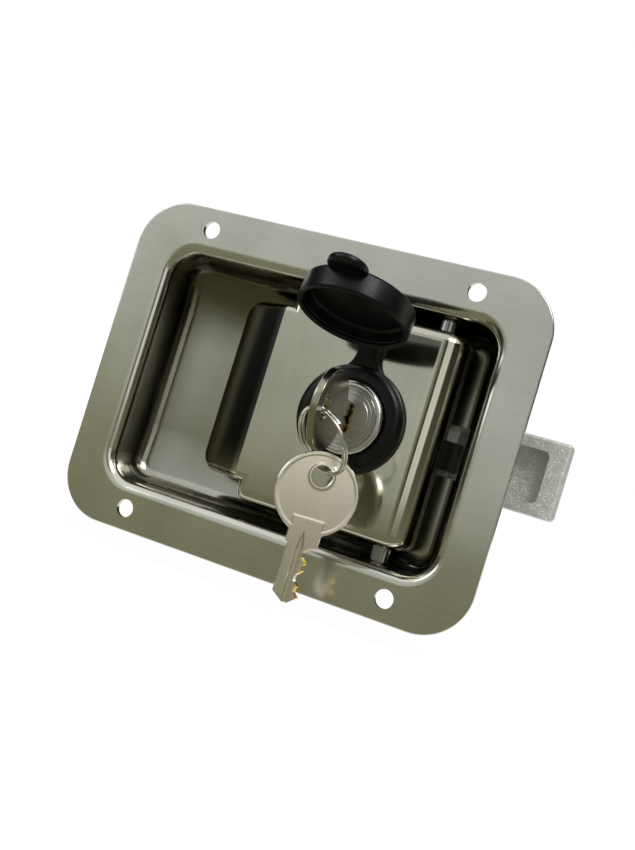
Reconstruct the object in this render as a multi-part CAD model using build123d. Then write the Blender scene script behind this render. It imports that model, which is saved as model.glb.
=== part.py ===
"""Flush paddle latch: stamped pan, sprung paddle with a key lock, and a slam bolt behind the pan.

Millimetres. +X is the way the bolt shoots, +Z is up, and the panel's outside is towards -Y.
The origin is the middle of the flange's back face, which seats on the panel.
"""
from build123d import *
from math import asin, atan2, cos, degrees, radians, sin, sqrt, tan
import os

# ---- flange and dish -------------------------------------------------------------------------
SHEET = 1.5                      # stainless sheet of the pan and the paddle
FLANGE_W, FLANGE_H = 140.0, 108.0
FLANGE_CORNER = 16.0
FLANGE_EDGE = 0.4                # broken outer edge
MOUNT_INSET_X, MOUNT_INSET_Z = 25.0, 7.0   # hole centres from the flange's edges
MOUNT_PITCH_X = FLANGE_W - 2 * MOUNT_INSET_X
MOUNT_PITCH_Z = FLANGE_H - 2 * MOUNT_INSET_Z
MOUNT_HOLE_R = 2.9
RIM_X, RIM_Z = 14.5, 15.5        # flange's edge to the dish wall
MOUTH_W = FLANGE_W - 2 * RIM_X
MOUTH_H = FLANGE_H - 2 * RIM_Z
MOUTH_CORNER = 8.5
MOUTH_ROLL = 3.6                 # rolled lip from the flange into the dish
DISH_DEPTH = 18.0
DISH_DRAFT = 3.0                 # degrees
FLOOR_ROLL = 5.0

FRONT = -SHEET                   # outer face of the flange, and of the shut paddle
FLOOR = FRONT + DISH_DEPTH       # inside of the dish's floor
FLOOR_BACK = FLOOR + SHEET

# ---- paddle and its hinge ----------------------------------------------------------------------
MECH_Z = 0.6                     # middle line of the paddle, lock and bolt
HINGE_X, HINGE_Y = 37.7, 7.0
HINGE_PIN_R = 2.0
PIN_FIT = 0.08                   # radial running clearance on the hinge pin
PADDLE_LEFT, PADDLE_RIGHT = -11.0, 46.5
PADDLE_GAP = 4.8                 # paddle's end to the dish's mouth
PADDLE_HALF_H = MOUTH_H / 2 - PADDLE_GAP
PADDLE_ROLL = 4.0
PADDLE_END_ROLL = 7.5            # the wider roll over the crank's end
SKIRT_RIGHT = 11.5               # depth of the skirt from the paddle's face at the right end
SKIRT_HINGE = 13.5               # and below the hinge pin
SKIRT_LEFT = 7.0
SKIRT_HINGE_HALF = 5.0           # half length of the deep part round the pin
TONGUE_BEND_X = -12.0            # where the finger tongue turns down from the face
TONGUE_LEFT = -28.5
TONGUE_DROP = 9.0
TONGUE_LOW = 6.5 - PADDLE_HALF_H
TONGUE_HIGH = PADDLE_HALF_H - 3.7
TONGUE_CORNER = 6.0
TONGUE_ROLL = 2.6
TONGUE_RIM = 3.4

# ---- hinge pin, its clips, bushes and return spring ----------------------------------------------
PIN_END = 4.2                    # pin beyond each outer wall
PIN_CHAMFER = 0.4
CLIP_GROOVE_R = 1.5
CLIP_R = 4.0
CLIP_LUG_R = 0.8                 # notches that leave the clip its three lugs
CLIP_T = 0.8
CLIP_GAP = 0.3
BUSH_R = 2.9
BUSH_GAP = 0.25                  # end float of each bush
WIRE_SIDES = 5                   # section of a spring's wire
RETURN_WIRE_R = 0.7
RETURN_COIL_R = 4.1
RETURN_TURNS = 4
RETURN_PITCH = 1.75
RETURN_LEG = 15.0
RETURN_STAND = 4.2               # coil above the paddle's lower skirt
SEAT_GAP = 0.1                   # running gap where a spring end bears

# ---- lock ------------------------------------------------------------------------------------
LOCK_X = 19.2
BARREL_R = 9.5
BARREL_FLATS = 16.0
BARREL_FIT = 0.1
BARREL_END = 19.0                # back of the lock barrel
HEAD_R = 11.3
HEAD_T = 3.6
HEAD_SUNK = 1.7                  # head below the top of the rubber ring
HEAD_ROLL = 1.6
PLUG_R = 9.2
PLUG_GROOVE = 0.3                # gap round the plug at the face
PLUG_FACE_T = 2.0
PLUG_BODY_R = 6.5
PLUG_FIT = 0.08
PLUG_SINK = 0.3                  # plug face below the rim
PLUG_EDGE = 0.35
KEYWAY_W, KEYWAY_H = 2.5, 8.8
KEYWAY_SPARE = 1.2               # keyway beyond the key's tip
NUT_AF = 23.0                    # across flats
NUT_T = 3.5
NUT_FIT = 0.1
NUT_CHAMFER = 1.0
WASHER_R, WASHER_T = 12.5, 0.9
CAM_T = 2.0
CAM_GAP = 0.4
CAM_REACH = 22.0
CAM_HUB_R = 7.0
CAM_TIP_W = 9.0
SQUARE = 7.0                     # driving square on the plug's tail
SQUARE_FIT = 0.06
SQUARE_SHORT = 0.1               # tail's end below the cam's face
CAM_SCREW_R = 1.9
CAM_SCREW_FIT = 0.05
CAM_SCREW_HOLE = 2.0             # tapped depth in the plug's tail
CAM_SCREW_EDGE = 0.8
CAM_SCREW_SLOT = 1.0             # width and depth of its slot
CAM_SCREW_HEAD_R = 4.2
CAM_SCREW_HEAD_T = 2.4

# ---- weather cap -----------------------------------------------------------------------------
RING_R = 16.8
RING_H = 4.4
RING_EDGE = 1.6
RING_SHOULDER = 1.7
RING_DOME = 0.9
RING_LIP_W, RING_LIP_T = 0.6, 0.5
RING_FIT = 0.25
STRAP_W, STRAP_T = 6.6, 1.3
STRAP_FLARE = 6.0
STRAP_BOW = 2.2                  # how far the strap stands off the cap's hinge line
CAP_R = 16.7
CAP_H = 7.4
CAP_WALL = 1.7
CAP_TOP_T = 1.9
CAP_EDGE = 1.2
CAP_SEAT = 1.5                   # shut cap's mouth behind its hinge line
CAP_OPEN = 107.0                 # degrees from shut
CAP_HINGE_Y, CAP_HINGE_Z = -6.8, 21.6
TAB_R = 5.8
TAB_OUT = 0.8                    # tab's centre beyond the cap's edge
TAB_T = 2.0
TAB_EDGE = 0.7

# ---- keys and ring -----------------------------------------------------------------------------
KEY_T = 2.1
BOW_R = 12.15
BOW_HOLE_R = 3.0
BOW_HOLE_OUT = 5.2               # hole centre from the bow's centre
NECK_W = 9.6
NECK_END = 15.1                  # key stop, from the bow's centre
BLADE_W, BLADE_L = 8.2, 16.8
BLADE_GROOVE_W, BLADE_GROOVE_T = 1.3, 0.5
BLADE_GROOVE_RISE = 4.0          # groove above the key's stop
BLADE_POINT, BLADE_TIP = 0.6, 0.2  # shares of half the blade's width
CUT_PITCH = 3.4
CUT_DEPTHS = (2.3, 1.2, 2.6, 1.6)
CUT_FLAT = 0.4                   # share of the pitch that is a cut's flat bottom
CUT_FIRST = 0.75                 # pitches from the stop to the first cut
KEY_STAND = 1.3                  # key stop in front of the plug
NECK_BLEND = 2.5
SPLIT_R = 10.0                   # mean radius of the split ring
SPLIT_WIRE = 1.0
SPLIT_SIDES = 8
SPLIT_TURNS = 1.9
SPLIT_PITCH = 1.02               # wire thicknesses from turn to turn
SPLIT_CENTRE = (20.7, -24.5, -8.2)
SPLIT_NORMAL = (0.434, 0.694, 0.575)
SPLIT_X = (0.694, -0.434, 0.0)   # where the wire starts
HANG_POINT = (21.5, -18.8, -18.0)  # centre of the hanging key's hole
HANG_TURN = 26.1                 # degrees that its face is turned towards +X

# ---- crank, bolt and housing -----------------------------------------------------------------
CRANK_T = 2.0
CRANK_W = 9.0
CRANK_X = 48.4                   # left face of the leg that passes the floor
CRANK_TIP_Y = 26.0
CRANK_TIP_CORNER = 3.0
CRANK_PAD_Y = 6.2
CRANK_Z = -1.2                   # middle of the arm
CRANK_BEND_Y = 11.0
CRANK_BEND = 45.0                # degrees of the joggle
BOLT_FRONT = FLOOR_BACK + 0.6
BOLT_T = 12.0
BOLT_NOSE_X = 82.5
BOLT_NOSE_H = 24.0
BOLT_BODY_H = 36.0
BOLT_BODY_LEFT, BOLT_BODY_RIGHT = 44.5, 60.0
BOLT_CORNER = 1.5
BOLT_EDGE = 0.8
BOLT_BEVEL_L = 13.0
BOLT_TIP_T = 3.2
POCKET_BORDER_X, POCKET_BORDER_Z = 6.2, 3.8
POCKET_LEFT = 61.5
POCKET_DEPTH = 6.5
POCKET_CORNER = 2.0
SLOT_LEFT, SLOT_RIGHT = 48.0, 59.2
SLOT_HALF = 8.0
SLOT_CORNER = 1.0
SPRING_R = 2.8                   # outside radius of a bolt spring
SPRING_WIRE_R = 0.35
SPRING_TURNS = 6
SPRING_BORE_R = 3.2
SPRING_Z = 13.0                  # from the middle line
SPRING_BORE_X = 57.0             # blind end of the bore
HOUSING_T = 1.5
HOUSING_LEFT = 30.4              # inside of the end wall
HOUSING_RIGHT = 61.0             # inside of the mouth wall
HOUSING_GAP = 0.5                # round the bolt's body
HOUSING_EAR = 9.0
EAR_CORNER = 2.0
RIVET_R = 2.0
RIVET_HEAD_R = 3.6
RIVET_HEAD_T = 1.3
RIVET_TAIL = 0.85                # tail's radius as a share of the head's
RIVET_EDGE = 0.6                 # chamfer as a share of the head's height
RIVET_FIT = 0.02
RIVET_X = (33.0, 41.0)
SEAT_R, SEAT_L = 1.9, 5.0

# ---- openings in the floor -------------------------------------------------------------------
WINDOW_LEFT, WINDOW_RIGHT = -6.0, 28.6
WINDOW_HALF_H = 11.5
WINDOW_CORNER = 3.0
CRANK_SLOT_LEFT, CRANK_SLOT_RIGHT = 38.2, 51.4
CRANK_SLOT_HALF = 8.2

CUT = 1.0                        # how far cutting tools run past a face
TOUCHING, NEAR = 0.02, 0.35      # tolerances for finding edges


def plane_y(y):
    """Plane at a depth, drawn as seen from outside: local x is X, local y is Z, normal -Y."""
    return Plane(origin=(0, y, 0), x_dir=(1, 0, 0), z_dir=(0, -1, 0))


def prism_y(sketch, y0, y1):
    """A sketch drawn in X and Z, as a prism from depth y0 to the greater depth y1."""
    return extrude(plane_y(y1) * sketch, amount=y1 - y0)


def disc_y(x, z, radius, y0, y1):
    """Round bar along Y."""
    return prism_y(Pos(x, z) * Circle(radius), y0, y1)


def box_at(x0, x1, y0, y1, z0, z1):
    """Box between two corners."""
    middle = Pos((x0 + x1) / 2, (y0 + y1) / 2, (z0 + z1) / 2)
    return middle * Box(x1 - x0, y1 - y0, z1 - z0)


def prism_z(points, z0, z1):
    """A polygon in X and Y, as a prism from z0 to z1."""
    face = make_face(Polyline(*points, close=True))
    return Pos(0, 0, z0) * extrude(face, amount=z1 - z0, dir=(0, 0, 1))


def spring_along(axis_plane, coil_r, wire_r, turns, length):
    """Coil spring on a plane's normal, from its origin."""
    path = Helix(pitch=length / turns, height=length, radius=coil_r)
    section = Plane(origin=path @ 0, z_dir=path % 0) * RegularPolygon(wire_r, WIRE_SIDES)
    return axis_plane.location * sweep(section, path=path, is_frenet=True)


def edges_at_y(solid, y):
    """The edges that lie wholly at one depth."""
    return solid.edges().filter_by_position(Axis.Y, y - TOUCHING, y + TOUCHING)


# ---- pan ----------------------------------------------------------------------------------------
def dish_form(grow, y0, y1, floor_roll):
    """The drafted dish as a solid, grown outwards by the sheet for its outer skin."""
    def outline(y):
        shrink = (y - FRONT) * tan(radians(DISH_DRAFT))
        return plane_y(y) * RectangleRounded(
            MOUTH_W + 2 * (grow - shrink), MOUTH_H + 2 * (grow - shrink), MOUTH_CORNER + grow - shrink
        )
    form = loft([outline(y0), outline(y1)], ruled=True)
    return fillet(edges_at_y(form, y1), floor_roll)


def dish_edges(solid, y):
    """The edges round the dish at one depth, apart from the flange's outline."""
    half_x, half_z = MOUTH_W / 2 + MOUTH_ROLL, MOUTH_H / 2 + MOUTH_ROLL
    return [e for e in edges_at_y(solid, y) if abs(e.center().X) < half_x and abs(e.center().Z) < half_z]


def pan():
    flange_outline = RectangleRounded(FLANGE_W, FLANGE_H, FLANGE_CORNER)
    holes = Sketch() + GridLocations(MOUNT_PITCH_X, MOUNT_PITCH_Z, 2, 2) * Circle(MOUNT_HOLE_R)
    flange = prism_y(flange_outline, FRONT, 0)
    flange = fillet(edges_at_y(flange, FRONT), FLANGE_EDGE)
    body = flange + dish_form(SHEET, FRONT + SHEET / 2, FLOOR_BACK, FLOOR_ROLL + SHEET)
    body -= dish_form(0, FRONT, FLOOR, FLOOR_ROLL)
    body = fillet(dish_edges(body, FRONT), MOUTH_ROLL)
    body = fillet(dish_edges(body, 0), MOUTH_ROLL - SHEET)
    body -= prism_y(holes, FRONT - CUT, CUT)
    window_w = WINDOW_RIGHT - WINDOW_LEFT
    window = Pos((WINDOW_LEFT + WINDOW_RIGHT) / 2, MECH_Z) * RectangleRounded(
        window_w, 2 * WINDOW_HALF_H, WINDOW_CORNER
    )
    body -= prism_y(window, FLOOR - CUT, FLOOR_BACK + CUT)
    body -= box_at(
        CRANK_SLOT_LEFT, CRANK_SLOT_RIGHT, FLOOR - FLOOR_ROLL, FLOOR_BACK + CUT,
        MECH_Z - CRANK_SLOT_HALF, MECH_Z + CRANK_SLOT_HALF,
    )
    pin_hole = Cylinder(HINGE_PIN_R + PIN_FIT, FLANGE_H)
    body -= Pos(HINGE_X, HINGE_Y, 0) * pin_hole
    for x, z in rivet_places():
        body -= disc_y(x, z, RIVET_R, FLOOR - CUT, FLOOR_BACK + CUT)
    return body


# ---- paddle ----------------------------------------------------------------------------------
def paddle_body_form(inset):
    """The paddle's box with its rolled front edges; inset by the sheet it is the hollow inside."""
    left, right = PADDLE_LEFT + inset, PADDLE_RIGHT - inset
    over = CUT if inset else 0
    face = FRONT + inset
    end_roll = PADDLE_END_ROLL - inset
    profile = make_face([
        Line((left, face), (right - end_roll, face)),
        RadiusArc((right - end_roll, face), (right, face + end_roll), -end_roll),
        Polyline(
            (right, face + end_roll), (right, FRONT + SKIRT_RIGHT + over),
            (HINGE_X + SKIRT_HINGE_HALF, FRONT + SKIRT_HINGE + over),
            (HINGE_X - SKIRT_HINGE_HALF, FRONT + SKIRT_HINGE + over),
            (left, FRONT + SKIRT_LEFT + over), (left, face),
        ),
    ])
    half = PADDLE_HALF_H - inset
    form = Pos(0, 0, MECH_Z - half) * extrude(profile, amount=2 * half, dir=(0, 0, 1))
    def rolled(edge):
        middle = edge.center()
        at_left = abs(middle.X - left) < TOUCHING
        at_right = middle.X > right - end_roll and middle.Y < FRONT + SKIRT_RIGHT - TOUCHING
        return at_left or at_right or abs(middle.Y - face) < TOUCHING
    back = FRONT + SKIRT_LEFT + over
    edges = [
        e for e in form.edges()
        if rolled(e) and not (e.geom_type == GeomType.LINE and abs(e.center().Y - back) < TOUCHING)
    ]
    ends = [e for e in edges if abs(abs(e.center().Z - MECH_Z) - half) < TOUCHING]
    left_edge = [e for e in edges if abs(e.center().X - left) < TOUCHING and abs(e.center().Y - face) < TOUCHING]
    return fillet(ends + left_edge, PADDLE_ROLL - inset)


def tongue_form(inset):
    """The sloping finger tongue with its turned-down rim."""
    slope = TONGUE_DROP / (TONGUE_BEND_X - TONGUE_LEFT)
    angle = atan2(slope, 1)
    over = CUT if inset else 0
    face = FRONT + inset
    bend_x = TONGUE_BEND_X + inset * (1 / cos(angle) - 1) / slope
    left = TONGUE_LEFT + inset
    left_y = face + (bend_x - left) * slope
    rim = TONGUE_RIM + over
    inner = PADDLE_LEFT + PADDLE_ROLL + SHEET
    points = [
        (inner + inset, face), (bend_x, face), (left, left_y), (left, FRONT + TONGUE_DROP + rim),
        (inner + inset, FRONT + SKIRT_LEFT + over),
    ]
    form = prism_z(points, TONGUE_LOW + inset, TONGUE_HIGH - inset)
    ends = form.edges().filter_by(Axis.Y).filter_by_position(Axis.X, left - CUT, left + CUT)
    form = fillet(ends, TONGUE_CORNER - inset)
    def on_front(edge):
        middle = edge.center()
        front_y = face + max(0.0, (bend_x - middle.X) * slope)
        return abs(middle.Y - front_y) < NEAR and edge.bounding_box().size.Z < TONGUE_CORNER * 2
    rim_edges = [
        e for e in form.edges()
        if on_front(e) and e.center().X < inner - CUT and e.length > CUT
    ]
    left_edge = [
        e for e in form.edges().filter_by(Axis.Z)
        if abs(e.center().X - left) < TOUCHING and abs(e.center().Y - left_y) < TOUCHING
    ]
    return fillet(rim_edges + left_edge, TONGUE_ROLL - inset)


def lock_hole(fit):
    """The double-D outline of the lock barrel."""
    round_part = Circle(BARREL_R + fit)
    return Pos(LOCK_X, MECH_Z) * (round_part & Rectangle(BARREL_FLATS + 2 * fit, 4 * BARREL_R))


def paddle():
    outside = paddle_body_form(0) + tongue_form(0)
    inside = paddle_body_form(SHEET) + tongue_form(SHEET)
    body = outside - inside
    body -= prism_y(lock_hole(BARREL_FIT), FRONT - CUT, FRONT + SHEET + CUT)
    body -= Pos(HINGE_X, HINGE_Y, MECH_Z) * Cylinder(HINGE_PIN_R + PIN_FIT, 3 * PADDLE_HALF_H)
    return body


def wall_z_at_pin(grow):
    """Half height of the dish wall at the pin's depth, at its inner or grown outer face."""
    return MOUTH_H / 2 + grow - (HINGE_Y - FRONT) * tan(radians(DISH_DRAFT))


def pin_half_length():
    return wall_z_at_pin(SHEET) + PIN_END


def clip_z():
    return wall_z_at_pin(SHEET) + CLIP_GAP + 2 * CLIP_T


def hinge_pin():
    half = pin_half_length()
    pin = Pos(HINGE_X, HINGE_Y, 0) * Cylinder(HINGE_PIN_R, 2 * half)
    pin = chamfer(pin.edges(), PIN_CHAMFER)
    for side in (-1, 1):
        groove = Cylinder(2 * HINGE_PIN_R, CLIP_T) - Cylinder(CLIP_GROOVE_R, CLIP_T)
        pin -= Pos(HINGE_X, HINGE_Y, side * clip_z()) * groove
    return pin


def pin_clips():
    """An E-clip in the groove at each end of the pin."""
    profile = Circle(CLIP_R) - Circle(CLIP_GROOVE_R)
    profile -= Pos(CLIP_R, 0) * Rectangle(2 * CLIP_R, 2 * CLIP_GROOVE_R)
    for turn in (120, 240):
        profile -= Rot(0, 0, turn) * (Pos(CLIP_GROOVE_R + CLIP_LUG_R / 2, 0) * Circle(CLIP_LUG_R))
    clip = extrude(profile, amount=CLIP_T / 2, both=True)
    return Compound(children=[
        Pos(HINGE_X, HINGE_Y, side * clip_z()) * clip for side in (-1, 1)
    ])


def pin_bushes():
    """A bush on the pin at each end, between the paddle's skirt and the dish wall."""
    bushes = []
    for side in (-1, 1):
        inner = side * MECH_Z + PADDLE_HALF_H + BUSH_GAP
        outer = wall_z_at_pin(0) - BUSH_GAP - BUSH_R * tan(radians(DISH_DRAFT))
        ring = Circle(BUSH_R) - Circle(HINGE_PIN_R + PIN_FIT)
        bush = extrude(ring, amount=outer - inner)
        low = inner if side > 0 else -outer
        bushes.append(Pos(HINGE_X, HINGE_Y, low) * bush)
    return Compound(children=bushes)


def return_spring():
    """Torsion spring round the hinge pin: one leg bears on the paddle's face, one on the floor."""
    face_gap = HINGE_Y - (FRONT + SHEET) - RETURN_WIRE_R - SEAT_GAP
    floor_gap = FLOOR - HINGE_Y - RETURN_WIRE_R - SEAT_GAP
    reach = sqrt(RETURN_COIL_R ** 2 + RETURN_LEG ** 2)
    lean = atan2(RETURN_COIL_R, RETURN_LEG)
    face_lean = degrees(asin(face_gap / reach) - lean)
    floor_lean = degrees(asin(floor_gap / reach) - lean)
    turns = RETURN_TURNS + (180 - face_lean - floor_lean) / 360
    height = turns * RETURN_PITCH
    coil = Rot(0, 0, face_lean - 90) * Helix(pitch=RETURN_PITCH, height=height, radius=RETURN_COIL_R)
    face_leg = Line(coil @ 0 - (coil % 0) * RETURN_LEG, coil @ 0)
    floor_leg = Line(coil @ 1, coil @ 1 + (coil % 1) * RETURN_LEG)
    path = Wire([*face_leg.edges(), *coil.edges(), *floor_leg.edges()])
    section = Plane(origin=path @ 0, z_dir=path % 0) * RegularPolygon(RETURN_WIRE_R, WIRE_SIDES)
    spring = sweep(section, path=path)
    low = MECH_Z - PADDLE_HALF_H + SHEET + RETURN_STAND + RETURN_WIRE_R
    return Pos(HINGE_X, HINGE_Y, low) * spring


# ---- lock ------------------------------------------------------------------------------------
def ring_top_y():
    return FRONT - RING_H


def head_seat_y():
    return ring_top_y() + HEAD_SUNK


def head_front_y():
    return head_seat_y() - HEAD_T


def lock_housing():
    """Head with a rolled rim, and the double-D barrel behind it, bored for the plug."""
    head = disc_y(LOCK_X, MECH_Z, HEAD_R, head_front_y(), head_seat_y())
    head = fillet(edges_at_y(head, head_front_y()), HEAD_ROLL)
    body = head + prism_y(lock_hole(0), head_seat_y() - CUT / 2, BARREL_END)
    seat = head_front_y() + PLUG_SINK + PLUG_FACE_T + PLUG_FIT
    body -= disc_y(LOCK_X, MECH_Z, PLUG_R + PLUG_GROOVE, head_front_y() - CUT, seat)
    body -= disc_y(LOCK_X, MECH_Z, PLUG_BODY_R + PLUG_FIT, head_front_y() - CUT, BARREL_END + CUT)
    return body


def cam_y():
    return BARREL_END + CAM_GAP


def lock_plug():
    """Turning plug with its face, the keyway through it and a square tail for the cam."""
    face_y = head_front_y() + PLUG_SINK
    face = disc_y(LOCK_X, MECH_Z, PLUG_R, face_y, face_y + PLUG_FACE_T)
    face = fillet(edges_at_y(face, face_y), PLUG_EDGE)
    body = face + disc_y(LOCK_X, MECH_Z, PLUG_BODY_R, face_y + PLUG_EDGE, BARREL_END + CAM_GAP / 2)
    tail = Pos(LOCK_X, MECH_Z) * Rectangle(SQUARE, SQUARE)
    body += prism_y(tail, BARREL_END, cam_y() + CAM_T - SQUARE_SHORT)
    keyway = Pos(LOCK_X, MECH_Z) * Rectangle(KEYWAY_W, KEYWAY_H)
    body -= prism_y(keyway, face_y - CUT, face_y + BLADE_L + KEYWAY_SPARE)
    body -= disc_y(LOCK_X, MECH_Z, CAM_SCREW_R, BARREL_END - CAM_SCREW_HOLE, cam_y() + CAM_T + CUT)
    return body


def lock_washer():
    outer = Pos(LOCK_X, MECH_Z) * Circle(WASHER_R)
    return prism_y(outer - lock_hole(BARREL_FIT), FRONT + SHEET, FRONT + SHEET + WASHER_T)


def lock_nut():
    nut_y = FRONT + SHEET + WASHER_T
    hexagon = RegularPolygon(NUT_AF / 2, 6, major_radius=False)
    blank = prism_y(Pos(LOCK_X, MECH_Z) * hexagon, nut_y, nut_y + NUT_T)
    cone = disc_y(LOCK_X, MECH_Z, NUT_AF / 2 + NUT_CHAMFER, nut_y, nut_y + NUT_T)
    cone = chamfer(edges_at_y(cone, nut_y + NUT_T), NUT_CHAMFER)
    bore = disc_y(LOCK_X, MECH_Z, BARREL_R + NUT_FIT, nut_y - CUT, nut_y + NUT_T + CUT)
    return (blank & cone) - bore


def lock_cam():
    """Flat cam that points away from the bolt when unlocked."""
    hub = Circle(CAM_HUB_R)
    arm = make_hull([
        *Circle(CAM_HUB_R).edges(),
        *(Pos(-(CAM_REACH - CAM_TIP_W / 2), 0) * Circle(CAM_TIP_W / 2)).edges(),
    ])
    outline = Pos(LOCK_X, MECH_Z) * (hub + arm - Rectangle(SQUARE + 2 * SQUARE_FIT, SQUARE + 2 * SQUARE_FIT))
    return prism_y(outline, cam_y(), cam_y() + CAM_T)


def cam_screw():
    head_y = cam_y() + CAM_T
    head = disc_y(LOCK_X, MECH_Z, CAM_SCREW_HEAD_R, head_y, head_y + CAM_SCREW_HEAD_T)
    top = head_y + CAM_SCREW_HEAD_T
    head = fillet(edges_at_y(head, top), CAM_SCREW_EDGE)
    tip = BARREL_END - CAM_SCREW_HOLE + CAM_GAP
    shank = disc_y(LOCK_X, MECH_Z, CAM_SCREW_R - CAM_SCREW_FIT, tip, head_y + CAM_SCREW_EDGE)
    slot = box_at(
        LOCK_X - CAM_SCREW_HEAD_R - CUT, LOCK_X + CAM_SCREW_HEAD_R + CUT, top - CAM_SCREW_SLOT, top + CUT,
        MECH_Z - CAM_SCREW_SLOT / 2, MECH_Z + CAM_SCREW_SLOT / 2,
    )
    return head + shank - slot


# ---- weather cap -----------------------------------------------------------------------------
def cap_ring():
    """Domed rubber ring held under the lock's head."""
    seat = head_seat_y()
    top = ring_top_y()
    inner = BARREL_R + RING_FIT
    recess = HEAD_R + RING_FIT
    profile = make_face([
        Line((inner, FRONT), (RING_R, FRONT)),
        Line((RING_R, FRONT), (RING_R, FRONT - RING_EDGE)),
        ThreePointArc(
            (RING_R, FRONT - RING_EDGE), (RING_R - RING_SHOULDER, top + RING_DOME), (recess + RING_LIP_W, top)
        ),
        Line((recess + RING_LIP_W, top), (recess, top + RING_LIP_T)),
        Line((recess, top + RING_LIP_T), (recess, seat)),
        Line((recess, seat), (inner, seat)),
        Line((inner, seat), (inner, FRONT)),
    ])
    return Pos(LOCK_X, 0, MECH_Z) * revolve(profile, axis=Axis.Y)


def cap_frame():
    """Frame on the middle of the opened cap's top: local z out of its mouth, y away from the hinge."""
    shut_y = CAP_HINGE_Y + CAP_SEAT - CAP_H
    turn = radians(CAP_OPEN)
    dy, dz = shut_y - CAP_HINGE_Y, MECH_Z - CAP_HINGE_Z
    y = CAP_HINGE_Y + dy * cos(turn) + dz * sin(turn)
    z = CAP_HINGE_Z - dy * sin(turn) + dz * cos(turn)
    mouth = (0, cos(turn), -sin(turn))
    return Plane(origin=(LOCK_X, y, z), x_dir=(1, 0, 0), z_dir=mouth)


def weather_cap():
    """Rubber cup with a finger tab on its free side."""
    cup = Cylinder(CAP_R, CAP_H, align=(Align.CENTER, Align.CENTER, Align.MIN))
    cup = fillet(cup.edges().group_by(Axis.Z)[0], CAP_EDGE)
    hollow = Pos(0, 0, CAP_TOP_T) * Cylinder(
        CAP_R - CAP_WALL, CAP_H, align=(Align.CENTER, Align.CENTER, Align.MIN)
    )
    tab = Pos(0, CAP_R + TAB_OUT, 0) * Cylinder(TAB_R, TAB_T, align=(Align.CENTER, Align.CENTER, Align.MIN))
    tab = fillet(tab.edges(), TAB_EDGE)
    return cap_frame().location * (cup + tab - hollow)


def cap_strap():
    """Rubber strap from the ring to the opened cap, waisted in the middle."""
    frame = cap_frame()
    cap_edge = frame.origin - frame.y_dir * (CAP_R - STRAP_T) + frame.z_dir * (CAP_TOP_T / 2)
    start = (RING_R + MECH_Z - STRAP_T, FRONT - RING_EDGE / 2 - STRAP_T / 2)
    middle = ((start[0] + cap_edge.Z) / 2, CAP_HINGE_Y + STRAP_BOW)
    line = ThreePointArc((start[1], start[0]), (middle[1], middle[0]), (cap_edge.Y, cap_edge.Z))
    strip = Plane.YZ * make_face(offset(line, STRAP_T / 2, side=Side.BOTH))
    band = extrude(strip, amount=RING_R, both=True)
    low, high = start[0] - CUT, cap_edge.Z + CUT
    waist = (low + high) / 2
    half, flare = STRAP_W / 2, STRAP_W / 2 + STRAP_FLARE
    outline = make_face([
        Line((-flare, low), (flare, low)),
        ThreePointArc((flare, low), (half, waist), (flare, high)),
        Line((flare, high), (-flare, high)),
        ThreePointArc((-flare, high), (-half, waist), (-flare, low)),
    ])
    strap = Pos(LOCK_X, 0, 0) * (band & prism_y(outline, 2 * CAP_HINGE_Y - 2 * CAP_R, 0))
    pieces = strap - cap_ring_solid() - weather_cap_solid()
    return max(pieces.solids(), key=lambda piece: piece.volume)


def cap_ring_solid():
    """The ring without its bore, for trimming the strap against it."""
    return cap_ring() + disc_y(LOCK_X, MECH_Z, BARREL_R + RING_EDGE, ring_top_y(), FRONT)


def weather_cap_solid():
    """The cap with its cup filled, for trimming the strap against it."""
    fill = Cylinder(CAP_R - CAP_WALL / 2, CAP_H, align=(Align.CENTER, Align.CENTER, Align.MIN))
    return weather_cap() + cap_frame().location * fill


# ---- keys and ring -----------------------------------------------------------------------------
def key_blank():
    """A cut key in X and Z: bow centred on the origin, blade towards -Z, thickness along Y."""
    bow = Circle(BOW_R)
    half_neck, half_blade = NECK_W / 2, BLADE_W / 2
    neck = make_face(Polyline(
        (-half_neck, 0), (half_neck, 0), (half_neck, -NECK_END), (-half_neck, -NECK_END), close=True
    ))
    outline = bow + neck
    root_y = -sqrt(BOW_R ** 2 - half_neck ** 2)
    root = [v for v in outline.vertices() if abs(v.Y - root_y) < TOUCHING]
    outline = fillet(root, NECK_BLEND)
    tip = -NECK_END - BLADE_L
    point = half_blade * BLADE_POINT
    tip_half = half_blade * BLADE_TIP
    outline += make_face(Polyline(
        (-half_blade, -NECK_END + CUT), (half_blade, -NECK_END + CUT), (half_blade, tip + point),
        (tip_half, tip), (-tip_half, tip), (-half_blade, tip + point), close=True,
    ))
    for i, depth in enumerate(CUT_DEPTHS):
        y = -NECK_END - CUT_PITCH * (i + CUT_FIRST)
        flat = CUT_PITCH * CUT_FLAT / 2
        outline -= make_face(Polyline(
            (half_blade + CUT, y + flat + depth + CUT), (half_blade - depth, y + flat),
            (half_blade - depth, y - flat), (half_blade + CUT, y - flat - depth - CUT), close=True,
        ))
    outline -= Pos(0, BOW_HOLE_OUT) * Circle(BOW_HOLE_R)
    key = extrude(Plane.XZ * outline, amount=KEY_T / 2, both=True)
    groove_top = -NECK_END + BLADE_GROOVE_RISE
    for side in (-1, 1):
        groove_x = side * BLADE_GROOVE_W / 2
        groove_y = side * (KEY_T / 2 + CUT - BLADE_GROOVE_T)
        key -= box_at(
            groove_x - BLADE_GROOVE_W / 2, groove_x + BLADE_GROOVE_W / 2,
            groove_y - CUT, groove_y + CUT, tip - CUT, groove_top,
        )
    return key


def key_in_lock():
    """The first key, in the keyway with its bow standing out from the lock."""
    bow_y = head_front_y() + PLUG_SINK - KEY_STAND - NECK_END
    return Pos(LOCK_X, bow_y, MECH_Z) * Rot(90, 0, 0) * Rot(0, 0, 90) * key_blank()


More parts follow.
